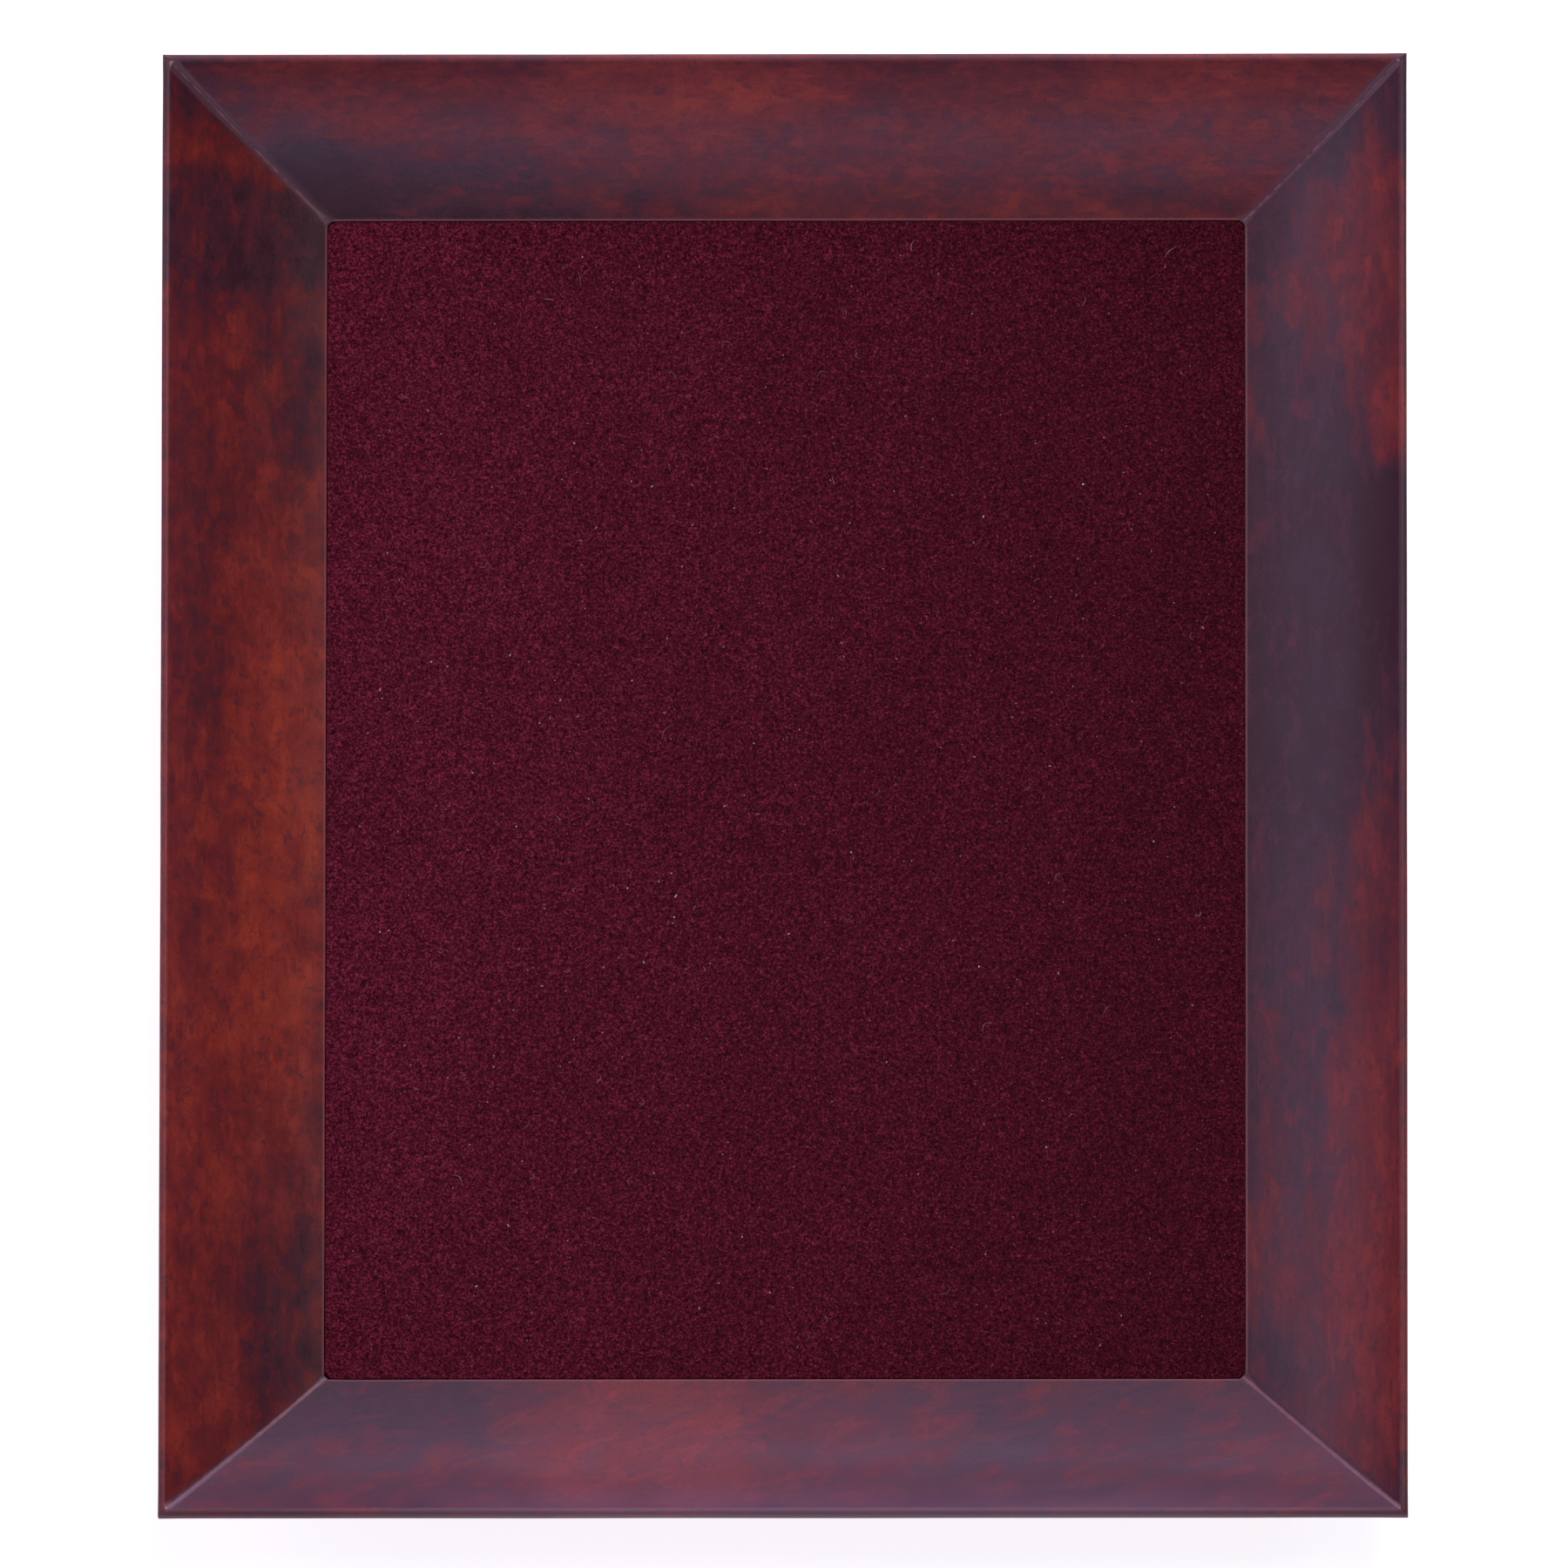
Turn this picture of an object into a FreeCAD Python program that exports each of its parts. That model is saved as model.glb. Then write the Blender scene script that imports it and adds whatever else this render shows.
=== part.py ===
"""Rectangular hardwood offering plate with coved, mitred sides and a drop-in velvet pad.

Frame: millimetres, +Z up, origin at the centre of the underside. The long sides run along Y,
the front is at -Y, and the rim is level at the top.
"""

import FreeCAD
import Part

import math
import os

Vector = FreeCAD.Vector

# Driving dimensions -------------------------------------------------------------------------

PLATE_WIDTH = 304.8          # outside of the rim, across X
PLATE_LENGTH = 361.0         # outside of the rim, along Y
PLATE_HEIGHT = 41.0          # table to the top of the rim
LONG_SIDE_WIDTH = 39.8       # left and right sides, rim to sight edge in plan
SHORT_SIDE_WIDTH = 37.2      # front and back sides, rim to sight edge in plan

# Section of a long side: u runs inward from the outside of the rim, z runs up. The short
# sides have the same section with u squeezed to their own width, so the mitres still match.
RIM_RADIUS = 1.2             # full round on the top of the rim
COVE_HALF_TURN = 12.5        # degrees that the cove turns either side of its chord
SIGHT_EDGE_RADIUS = 0.6      # eased edge where the cove ends above the pad
SIGHT_EDGE_HEIGHT = 13.2     # height of the end of the cove
RIM_BAND_HEIGHT = 6.0        # upright band under the rim, outside
PLINTH_INSET = 21.0          # outside of the plinth, in from the rim
PLINTH_HEIGHT = 5.5
OUTSIDE_RADIUS = 1.5         # eased edges of the outside face

# Bottom
FELT_THICKNESS = 1.2
FELT_MARGIN = 2.0            # plinth showing round the felt
FELT_CORNER_RADIUS = 3.0
PANEL_THICKNESS = 5.0
REBATE_WIDTH = 8.0           # how far the panel goes under the sides
PANEL_CLEARANCE = 0.25       # each side, in the rebate

# Pad: velvet wrapped over wadding and board, and turned under at the edges
PAD_CLEARANCE = 0.3          # each side, in the well
PAD_EDGE_RADIUS = 0.6        # top edge of the wrapped pad
VELVET_THICKNESS = 0.9
BOARD_THICKNESS = 2.4
WADDING_THICKNESS = 2.6
TURN_UNDER = 18.0            # width of velvet glued to the back of the board

# Corner fillets and fastenings
FILLET_RADIUS = 2.6          # filler run along each inside mitre
BRAD_SHANK_RADIUS = 0.6
BRAD_HEAD_RADIUS = 1.1
BRAD_HEAD_THICKNESS = 0.6
BRAD_LENGTH = 9.5
BRAD_TIP_RADIUS = 0.1
BRAD_POINT_LENGTH = 1.0
BRAD_END_MARGIN = 24.0       # from the end of the rebate to the first brad
BRADS_SHORT_SIDE = 3
BRADS_LONG_SIDE = 4
V_NAIL_HEIGHT = 10.0
V_NAIL_LEG = 4.6             # length of each leg of the V
V_NAIL_THICKNESS = 0.6
V_NAIL_INSETS = (22.8, 26.4)  # apex positions, in from the rim

# How the shapes are worked out
CUT_OVERRUN = 1.0            # how far a cutting shape runs past what it cuts
SAME_POINT = 1e-3            # points nearer than this are one point
SECTION_PASSES = 12          # passes that settle the slopes at the two ends of the cove

# Derived levels and sizes -------------------------------------------------------------------

SIDE_BOTTOM = FELT_THICKNESS
PANEL_TOP = SIDE_BOTTOM + PANEL_THICKNESS
BOARD_BOTTOM = PANEL_TOP + VELVET_THICKNESS
WADDING_BOTTOM = BOARD_BOTTOM + BOARD_THICKNESS
WADDING_TOP = WADDING_BOTTOM + WADDING_THICKNESS
PAD_TOP = WADDING_TOP + VELVET_THICKNESS

PAD_CORNER_RADIUS = FILLET_RADIUS - PAD_CLEARANCE   # the same gap all round the corner

WELL_WIDTH = PLATE_WIDTH - 2 * LONG_SIDE_WIDTH
WELL_LENGTH = PLATE_LENGTH - 2 * SHORT_SIDE_WIDTH
SQUEEZE = SHORT_SIDE_WIDTH / LONG_SIDE_WIDTH

RIGHT_TURN = 90              # degrees about Z that bring a side from the front to its place
LEFT_TURN = 270

# Side name, length, distance from the centre to its rim, squeeze of its section, number of
# brads, turn about Z in degrees
SIDES = (
    ("front", PLATE_WIDTH, PLATE_LENGTH / 2, SQUEEZE, BRADS_SHORT_SIDE, 0),
    ("right", PLATE_LENGTH, PLATE_WIDTH / 2, 1.0, BRADS_LONG_SIDE, RIGHT_TURN),
    ("back", PLATE_WIDTH, PLATE_LENGTH / 2, SQUEEZE, BRADS_SHORT_SIDE, 180),
    ("left", PLATE_LENGTH, PLATE_WIDTH / 2, 1.0, BRADS_LONG_SIDE, LEFT_TURN),
)
# Corner name, sign of X, sign of Y
CORNERS = (
    ("front_left", -1, -1),
    ("front_right", 1, -1),
    ("back_right", 1, 1),
    ("back_left", -1, 1),
)


# Helpers ------------------------------------------------------------------------------------

def on_section(u, z):
    """A point of the side section, on a side that runs along X with its rim at y = 0."""
    return Vector(0, u, z)


def line(start, end):
    return Part.LineSegment(start, end).toShape()


def arc(centre, radius, from_degrees, to_degrees):
    """An arc in the section plane. Angles are from +u towards +z."""
    angles = (from_degrees, (from_degrees + to_degrees) / 2, to_degrees)
    points = [
        centre + on_section(radius * math.cos(math.radians(a)), radius * math.sin(math.radians(a)))
        for a in angles
    ]
    return Part.Arc(*points).toShape()


def eased_corner(before, corner, after, radius):
    """The arc that rounds a corner of the section."""
    towards_before = (before - corner).normalize()
    towards_after = (after - corner).normalize()
    half_angle = towards_before.getAngle(towards_after) / 2
    setback = radius / math.tan(half_angle)
    bisector = (towards_before + towards_after).normalize()
    middle = corner + bisector * (radius / math.sin(half_angle) - radius)
    return Part.Arc(corner + towards_before * setback, middle, corner + towards_after * setback).toShape()


def closed_with_lines(arcs_and_points):
    """A closed wire through arcs and plain points, joined by straight lines."""
    edges = []
    starts = []
    ends = []
    for item in arcs_and_points:
        if isinstance(item, FreeCAD.Vector):
            starts.append(item)
            ends.append(item)
            edges.append(None)
        else:
            starts.append(item.firstVertex(True).Point)
            ends.append(item.lastVertex(True).Point)
            edges.append(item)
    outline = []
    for index, edge in enumerate(edges):
        following = (index + 1) % len(edges)
        if edge is not None:
            outline.append(edge)
        if ends[index].distanceToPoint(starts[following]) > SAME_POINT:
            outline.append(line(ends[index], starts[following]))
    return Part.Wire(outline)


def block(width, length, bottom, top, corner_radius=0.0):
    """A centred upright block, with its upright edges rounded if a radius is given."""
    solid = Part.makeBox(width, length, top - bottom, Vector(-width / 2, -length / 2, bottom))
    if corner_radius:
        upright = [e for e in solid.Edges if abs(e.tangentAt(e.FirstParameter).z) > 0.99]
        solid = solid.makeFillet(corner_radius, upright)
    return solid


def inset_block(u, bottom, top, corner_radius=0.0):
    """A block that stands u in from the rim, with u squeezed at the front and back."""
    return block(PLATE_WIDTH - 2 * u, PLATE_LENGTH - 2 * u * SQUEEZE, bottom, top, corner_radius)


def turned(shape, degrees):
    turned_shape = shape.copy()
    turned_shape.rotate(Vector(0, 0, 0), Vector(0, 0, 1), degrees)
    return turned_shape


def single_solid(shape):
    """The largest solid of a boolean result."""
    return max(shape.Solids, key=lambda solid: solid.Volume)


# Sides --------------------------------------------------------------------------------------

def side_section():
    """The section of a long side: rim, cove, sight edge, rebate, plinth and slanting outside."""
    rim_centre = on_section(RIM_RADIUS, PLATE_HEIGHT - RIM_RADIUS)
    sight_centre_u = LONG_SIDE_WIDTH - SIGHT_EDGE_RADIUS
    sight_centre = on_section(sight_centre_u, SIGHT_EDGE_HEIGHT - SIGHT_EDGE_RADIUS)

    # The chord of the cove fixes its slopes at both ends, and those fix where the rounds stop.
    chord_slope = math.degrees(math.atan2(rim_centre.z - sight_centre.z, sight_centre.y - rim_centre.y))
    for _ in range(SECTION_PASSES):
        rim_end_angle = 90 - (chord_slope + COVE_HALF_TURN)
        sight_start_angle = 90 - (chord_slope - COVE_HALF_TURN)
        rim_round = arc(rim_centre, RIM_RADIUS, 180, rim_end_angle)
        sight_round = arc(sight_centre, SIGHT_EDGE_RADIUS, sight_start_angle, 0)
        cove_start = rim_round.lastVertex(True).Point
        cove_end = sight_round.firstVertex(True).Point
        chord = cove_end - cove_start
        chord_slope = math.degrees(math.atan2(-chord.z, chord.y))

    half_turn = math.radians(COVE_HALF_TURN)
    cove_radius = chord.Length / (2 * math.sin(half_turn))
    sag = cove_radius * (1 - math.cos(half_turn))
    below_chord = on_section(chord.z, -chord.y).normalize()
    cove_middle = (cove_start + cove_end) * 0.5 + below_chord * sag
    cove = Part.Arc(cove_start, cove_middle, cove_end).toShape()

    rebate_u = LONG_SIDE_WIDTH - REBATE_WIDTH
    lip_corner = on_section(LONG_SIDE_WIDTH, PANEL_TOP)
    rebate_corner = on_section(rebate_u, PANEL_TOP)
    rebate_foot = on_section(rebate_u, SIDE_BOTTOM)
    plinth_foot = on_section(PLINTH_INSET, SIDE_BOTTOM)
    plinth_top = on_section(PLINTH_INSET, SIDE_BOTTOM + PLINTH_HEIGHT)
    band_foot = on_section(0, PLATE_HEIGHT - RIM_BAND_HEIGHT)
    band_top = rim_round.firstVertex(True).Point
    outside = [
        eased_corner(rebate_foot, plinth_foot, plinth_top, OUTSIDE_RADIUS / 2),
        eased_corner(plinth_foot, plinth_top, band_foot, OUTSIDE_RADIUS),
        eased_corner(plinth_top, band_foot, band_top, OUTSIDE_RADIUS),
    ]
    return closed_with_lines([rim_round, cove, sight_round, lip_corner, rebate_corner, rebate_foot] + outside)


def make_long_side(turn):
    """The left or right side, cut from a straight moulding to its two mitres."""
    half_length = PLATE_LENGTH / 2
    moulding = Part.Face(side_section()).extrude(Vector(PLATE_LENGTH, 0, 0))
    moulding.translate(Vector(-half_length, 0, 0))
    depth = LONG_SIDE_WIDTH + CUT_OVERRUN
    setback = depth * SQUEEZE
    mitred_plan = Part.makePolygon([
        Vector(-half_length, 0, 0),
        Vector(half_length, 0, 0),
        Vector(half_length - setback, depth, 0),
        Vector(-half_length + setback, depth, 0),
        Vector(-half_length, 0, 0),
    ])
    mitre_block = Part.Face(mitred_plan).extrude(Vector(0, 0, PLATE_HEIGHT + CUT_OVERRUN))
    side = moulding.common(mitre_block)
    side.translate(Vector(0, -PLATE_WIDTH / 2, 0))
    return single_solid(turned(side, turn))


def across(shape):
    """The mirror image of a shape on the other side of the plate, left to right."""
    return shape.mirror(Vector(0, 0, 0), Vector(1, 0, 0))


def face_across(edge):
    """The face that an edge of the left mitre sweeps on its way to the right mitre."""
    if isinstance(edge.Curve, (Part.Line, Part.LineSegment)):
        start, end = (vertex.Point for vertex in edge.Vertexes)
        opposite = [Vector(-point.x, point.y, point.z) for point in (end, start)]
        return Part.Face(Part.makePolygon([start, end, *opposite, start]))
    return Part.makeRuledSurface(edge, across(edge).Edges[0])


def make_short_side(left_side, sign_y):
    """The front or back side, which runs straight from the left side's mitre to the right side's."""
    left_mitre = max(left_side.Faces, key=lambda face: face.CenterOfMass.y * sign_y)
    faces = [left_mitre, across(left_mitre)]
    for edge in left_mitre.OuterWire.Edges:
        faces.append(face_across(edge))
    skin = Part.makeCompound(faces)
    skin.sewShape()
    side = Part.makeSolid(skin.Shells[0])
    if side.Volume < 0:
        side.reverse()
    return side


def make_sides():
    left_side = make_long_side(LEFT_TURN)
    return {
        "front": make_short_side(left_side, -1),
        "right": make_long_side(RIGHT_TURN),
        "back": make_short_side(left_side, 1),
        "left": left_side,
    }


# Corner fillets -----------------------------------------------------------------------------

def make_back_right_fillet(sides):
    """The filler in one corner: what rounding that corner of the hollow takes out of it."""
    quarter = Part.makeBox(PLATE_WIDTH / 2, PLATE_LENGTH / 2, PLATE_HEIGHT)
    hollow = inset_block(RIM_RADIUS, PANEL_TOP, PLATE_HEIGHT - RIM_RADIUS).common(quarter)
    for side in sides.values():
        hollow = hollow.cut(side)
    hollow = single_solid(hollow)

    def on_mitre(point):
        return abs((PLATE_WIDTH / 2 - point.x) * SQUEEZE - (PLATE_LENGTH / 2 - point.y)) < SAME_POINT

    mitre_edges = [
        edge
        for edge in hollow.Edges
        if all(on_mitre(vertex.Point) for vertex in edge.Vertexes)
    ]
    return single_solid(hollow.cut(hollow.makeFillet(FILLET_RADIUS, mitre_edges)))


def make_corner_fillets(sides):
    """The filler along each inside mitre. The four corners are mirror images of each other."""
    back_right = make_back_right_fillet(sides)
    fillets = {}
    for name, sign_x, sign_y in CORNERS:
        fillet = back_right.copy()
        if sign_x < 0:
            fillet = across(fillet)
        if sign_y < 0:
            fillet = fillet.mirror(Vector(0, 0, 0), Vector(0, 1, 0))
        fillets[name] = single_solid(fillet)
    return fillets


# Bottom panel, felt and pad -----------------------------------------------------------------

def make_panel():
    return inset_block(LONG_SIDE_WIDTH - REBATE_WIDTH + PANEL_CLEARANCE, SIDE_BOTTOM, PANEL_TOP)


def make_felt():
    return inset_block(PLINTH_INSET + FELT_MARGIN, 0, FELT_THICKNESS, FELT_CORNER_RADIUS)


def make_pad():
    """The velvet cover, the wadding and the board of the drop-in pad."""
    pad_width = WELL_WIDTH - 2 * PAD_CLEARANCE
    pad_length = WELL_LENGTH - 2 * PAD_CLEARANCE
    core_width = pad_width - 2 * VELVET_THICKNESS
    core_length = pad_length - 2 * VELVET_THICKNESS
    core_radius = PAD_CORNER_RADIUS - VELVET_THICKNESS

    velvet = block(pad_width, pad_length, PANEL_TOP, PAD_TOP, PAD_CORNER_RADIUS)
    top_face = max(velvet.Faces, key=lambda face: face.CenterOfMass.z)
    velvet = velvet.makeFillet(PAD_EDGE_RADIUS, top_face.OuterWire.Edges)
    core = block(core_width, core_length, BOARD_BOTTOM, WADDING_TOP, core_radius)
    open_width = pad_width - 2 * TURN_UNDER
    open_length = pad_length - 2 * TURN_UNDER
    back_opening = block(open_width, open_length, PANEL_TOP - CUT_OVERRUN, BOARD_BOTTOM + CUT_OVERRUN)
    velvet = single_solid(velvet.cut(core).cut(back_opening))

    board = block(core_width, core_length, BOARD_BOTTOM, WADDING_BOTTOM, core_radius)
    wadding = block(core_width, core_length, WADDING_BOTTOM, WADDING_TOP, core_radius)
    return {"pad_velvet": velvet, "pad_board": board, "pad_wadding": wadding}


# Fastenings ---------------------------------------------------------------------------------

def make_brad():
    """A brad driven up from the bottom of the panel, with its head flush."""
    head = Part.makeCylinder(BRAD_HEAD_RADIUS, BRAD_HEAD_THICKNESS, Vector(0, 0, SIDE_BOTTOM))
    shank_length = BRAD_LENGTH - BRAD_POINT_LENGTH
    shank = Part.makeCylinder(BRAD_SHANK_RADIUS, shank_length, Vector(0, 0, SIDE_BOTTOM))
    point_base = Vector(0, 0, SIDE_BOTTOM + shank_length)
    point = Part.makeCone(BRAD_SHANK_RADIUS, BRAD_TIP_RADIUS, BRAD_POINT_LENGTH, point_base)
    return single_solid(head.fuse(shank).fuse(point).removeSplitter())


def make_brads():
    """Brads through the panel into the lip of each side."""
    brad = make_brad()
    groups = {}
    for name, length, rim_distance, squeeze, count, turn in SIDES:
        brad_y = (LONG_SIDE_WIDTH - REBATE_WIDTH / 2) * squeeze - rim_distance
        reach = length / 2 - (LONG_SIDE_WIDTH - REBATE_WIDTH) - BRAD_END_MARGIN
        row = []
        for index in range(count):
            x = -reach + 2 * reach * index / (count - 1)
            placed = brad.copy()
            placed.translate(Vector(x, brad_y, 0))
            row.append(turned(placed, turn))
        groups[name] = row
    return groups


def make_v_nail():
    """A V-shaped strip with its apex at the origin and its legs at 45 degrees either side of +X."""
    bend = V_NAIL_THICKNESS * math.sqrt(2)
    reach = V_NAIL_LEG / math.sqrt(2)
    skew = V_NAIL_THICKNESS / math.sqrt(2)
    outline = [
        Vector(0, 0, SIDE_BOTTOM),
        Vector(reach, reach, SIDE_BOTTOM),
        Vector(reach + skew, reach - skew, SIDE_BOTTOM),
        Vector(bend, 0, SIDE_BOTTOM),
        Vector(reach + skew, -reach + skew, SIDE_BOTTOM),
        Vector(reach, -reach, SIDE_BOTTOM),
        Vector(0, 0, SIDE_BOTTOM),
    ]
    return Part.Face(Part.makePolygon(outline)).extrude(Vector(0, 0, V_NAIL_HEIGHT))


def make_v_nails():
    """Pairs of V nails across each mitre, driven up from below, opening towards the centre."""
    nail = make_v_nail()
    groups = {}
    for name, sign_x, sign_y in CORNERS:
        towards_centre = math.degrees(math.atan2(-sign_y * SQUEEZE, -sign_x))
        pair = []
        for inset in V_NAIL_INSETS:
            placed = turned(nail, towards_centre)
            corner_x = sign_x * (PLATE_WIDTH / 2 - inset)
            corner_y = sign_y * (PLATE_LENGTH / 2 - inset * SQUEEZE)
            placed.translate(Vector(corner_x, corner_y, 0))
            pair.append(placed)
        groups[name] = pair
    return groups


# Assembly -----------------------------------------------------------------------------------

def make_nodes():
    sides = make_sides()
    fillets = make_corner_fillets(sides)
    brads = make_brads()
    v_nails = make_v_nails()
    panel = make_panel()

    for side_name, row in brads.items():
        for brad in row:
            panel = panel.cut(brad)
            sides[side_name] = sides[side_name].cut(brad)
    for pair in v_nails.values():
        for nail in pair:
            for side_name in sides:
                if sides[side_name].BoundBox.intersect(nail.BoundBox):
                    sides[side_name] = sides[side_name].cut(nail)

    nodes = {f"{name}_side": single_solid(side) for name, side in sides.items()}
    nodes.update({f"corner_fillet_{name}": fillet for name, fillet in fillets.items()})
    nodes["bottom_panel"] = single_solid(panel)
    nodes["underside_felt"] = make_felt()
    nodes.update(make_pad())
    nodes.update({f"panel_brads_{name}": Part.makeCompound(row) for name, row in brads.items()})
    nodes.update({f"v_nails_{name}": Part.makeCompound(pair) for name, pair in v_nails.items()})
    return nodes


os.makedirs("parts", exist_ok=True)
for node_name, shape in make_nodes().items():
    shape.exportStep(f"parts/{node_name}.step")
    sound = shape.isValid() and all(solid.Volume > 0 for solid in shape.Solids)
    print(f"{node_name}: {len(shape.Solids)} solid(s), sound {sound}, {shape.Volume:.1f} mm3")
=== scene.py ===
"""The looks of the rectangular offering plate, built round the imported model.

Frame: metres, +Z up, origin at the centre of the underside. The long sides run along Y, and the
front is at -Y. An inset is a distance in from the outside of the rim.
"""

import bisect
import functools
import math
import random

import bmesh
import bpy
from mathutils import Matrix, Vector, noise


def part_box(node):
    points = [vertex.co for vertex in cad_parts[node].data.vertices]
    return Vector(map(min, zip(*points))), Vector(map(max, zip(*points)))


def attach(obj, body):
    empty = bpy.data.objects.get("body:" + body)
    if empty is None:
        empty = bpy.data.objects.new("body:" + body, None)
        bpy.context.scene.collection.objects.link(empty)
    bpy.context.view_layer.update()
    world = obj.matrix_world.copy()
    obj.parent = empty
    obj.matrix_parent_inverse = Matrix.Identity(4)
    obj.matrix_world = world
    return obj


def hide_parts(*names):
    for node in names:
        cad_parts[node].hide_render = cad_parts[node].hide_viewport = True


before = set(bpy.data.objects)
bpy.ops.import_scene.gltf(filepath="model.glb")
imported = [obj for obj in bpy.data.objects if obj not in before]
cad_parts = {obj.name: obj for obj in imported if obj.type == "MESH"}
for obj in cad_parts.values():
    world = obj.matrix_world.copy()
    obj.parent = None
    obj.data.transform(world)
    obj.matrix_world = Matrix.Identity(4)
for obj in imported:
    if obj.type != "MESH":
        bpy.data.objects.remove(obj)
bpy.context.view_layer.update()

MM = 0.001

# Sizes read from the frame --------------------------------------------------

HALF_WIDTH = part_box("right_side")[1].x
HALF_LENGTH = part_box("back_side")[1].y
RIM_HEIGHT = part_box("left_side")[1].z
LONG_SIDE_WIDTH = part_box("left_side")[1].x + HALF_WIDTH
SHORT_SIDE_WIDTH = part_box("front_side")[1].y + HALF_LENGTH
SQUEEZE = SHORT_SIDE_WIDTH / LONG_SIDE_WIDTH     # the short sides' section is this much narrower
SIDE_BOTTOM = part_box("left_side")[0].z
PANEL_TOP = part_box("bottom_panel")[1].z
PAD_HALF_WIDTH, PAD_HALF_LENGTH, PAD_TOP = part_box("pad_velvet")[1]
WADDING_HALF_WIDTH, WADDING_HALF_LENGTH, WADDING_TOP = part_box("pad_wadding")[1]
WADDING_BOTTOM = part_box("pad_wadding")[0].z
FELT_HALF_WIDTH, FELT_HALF_LENGTH, FELT_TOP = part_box("underside_felt")[1]

# Section of the sides
RIM_RADIUS = 1.2 * MM
COVE_HALF_TURN = 12.5            # degrees that the cove turns either side of its chord
SIGHT_EDGE_RADIUS = 0.6 * MM     # eased edge above the pad
SIGHT_EDGE_HEIGHT = 13.2 * MM
RIM_BAND_HEIGHT = 6.0 * MM
PLINTH_INSET = 21.0 * MM
PLINTH_HEIGHT = 5.5 * MM
OUTSIDE_RADIUS = 1.5 * MM
REBATE_WIDTH = 8.0 * MM
SECTION_PASSES = 12              # passes that settle the slopes at the ends of the cove

# Finish of the sides
STATION_STEP = 2.5 * MM          # between cross-sections along a side
HOLDING_DISTANCE = 0.35 * MM     # of the extra points that keep flat faces flat beside rounds
LONGEST_RUN = 4.0 * MM           # between points across a flat face
MITRE_EASE = 0.10 * MM           # tiny chamfer that shows each mitre as a fine line
HAND_WAVE = 0.12 * MM            # depth of the hollows that hand sanding leaves
WAVE_LENGTH = 38 * MM            # size of those hollows along a side and round its section
WAVE_WIDTH = 11 * MM
WAVE_FADE = 7.0 * MM             # the waves die out this far from a mitre

# Filler beads along the inside mitres
BEAD_SUNK = 0.02 * MM            # how far the edges of a bead lie in the wood
BEAD_ARC_STEPS = 14
BEAD_START = 3                   # points of the section between the rim's crest and the beads
BEAD_UNEVENNESS = 0.16

# Velvet pad
PILE_STEP = 1.2 * MM
EDGE_STEP = 0.4 * MM
PAD_CORNER_RADIUS = 2.3 * MM
PILE_BEYOND_PAD = 0.2 * MM       # the pile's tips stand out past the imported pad's edges
VELVET_EDGE_RADIUS = 0.30 * MM
VELVET_THICKNESS = 0.8 * MM
CROWN = 0.30 * MM                # the limit that the velvet's swell above its edges comes near to
SWELL_STEP = 5.0 * MM
SWELL_PRESSURE = 1
SWELL_FRAMES = 20
PILE_RELIEF = 0.10 * MM
TURN_UNDER = 18.0 * MM
GLUE_LIFT = 0.15 * MM            # between the panel and the flat part of the turned velvet
LINT_HAIRS = 70
LINT_SPECKS = 420
LINT_MARGIN = 6.0 * MM           # kept clear of lint along the pad's edges
HAIR_LENGTHS = (1.2 * MM, 4.2 * MM)
HAIR_RADII = (0.055 * MM, 0.090 * MM)
HAIR_CURL = 200                  # the most degrees that a hair turns
HAIR_STEPS = 10
SPECK_SIZES = (0.09 * MM, 0.22 * MM)

# Side name, its sign, whether it runs along Y
SIDES = (
    ("front", -1, False),
    ("right", 1, True),
    ("back", 1, False),
    ("left", -1, True),
)
# Corner name, sign of X, sign of Y, and how far its filler reaches out from the mitre at the
# rim, at the sight edge and on the upright lip
CORNERS = (
    ("front_left", -1, -1, 1.6 * MM, 0.9 * MM, 1.5 * MM),
    ("front_right", 1, -1, 1.1 * MM, 0.9 * MM, 2.1 * MM),
    ("back_right", 1, 1, 1.9 * MM, 1.0 * MM, 2.0 * MM),
    ("back_left", -1, 1, 2.2 * MM, 1.1 * MM, 1.9 * MM),
)


# Mesh helpers ---------------------------------------------------------------

def smooth_step(value, low, high):
    share = min(1.0, max(0.0, (value - low) / (high - low)))
    return share * share * (3 - 2 * share)


def skin(bm, rings, closed=True):
    """Quads between each ring of vertices and the next."""
    for ring, following in zip(rings, rings[1:]):
        count = len(ring)
        for index in range(count if closed else count - 1):
            after = (index + 1) % count
            bm.faces.new((ring[index], ring[after], following[after], following[index]))


def add_piece(name, bm, material, body, stands_for=(), smooth_degrees=35):
    """Turns a bmesh into a finished piece of the object that moves with a body."""
    bmesh.ops.recalc_face_normals(bm, faces=bm.faces)
    mesh = bpy.data.meshes.new(name)
    bm.to_mesh(mesh)
    bm.free()
    mesh.polygons.foreach_set("use_smooth", [True] * len(mesh.polygons))
    mesh.set_sharp_from_angle(angle=math.radians(smooth_degrees))
    mesh.materials.append(material)
    piece = bpy.data.objects.new(name, mesh)
    bpy.context.scene.collection.objects.link(piece)
    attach(piece, body)
    if stands_for:
        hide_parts(*stands_for)
    return piece


# Shader helpers -------------------------------------------------------------

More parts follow.
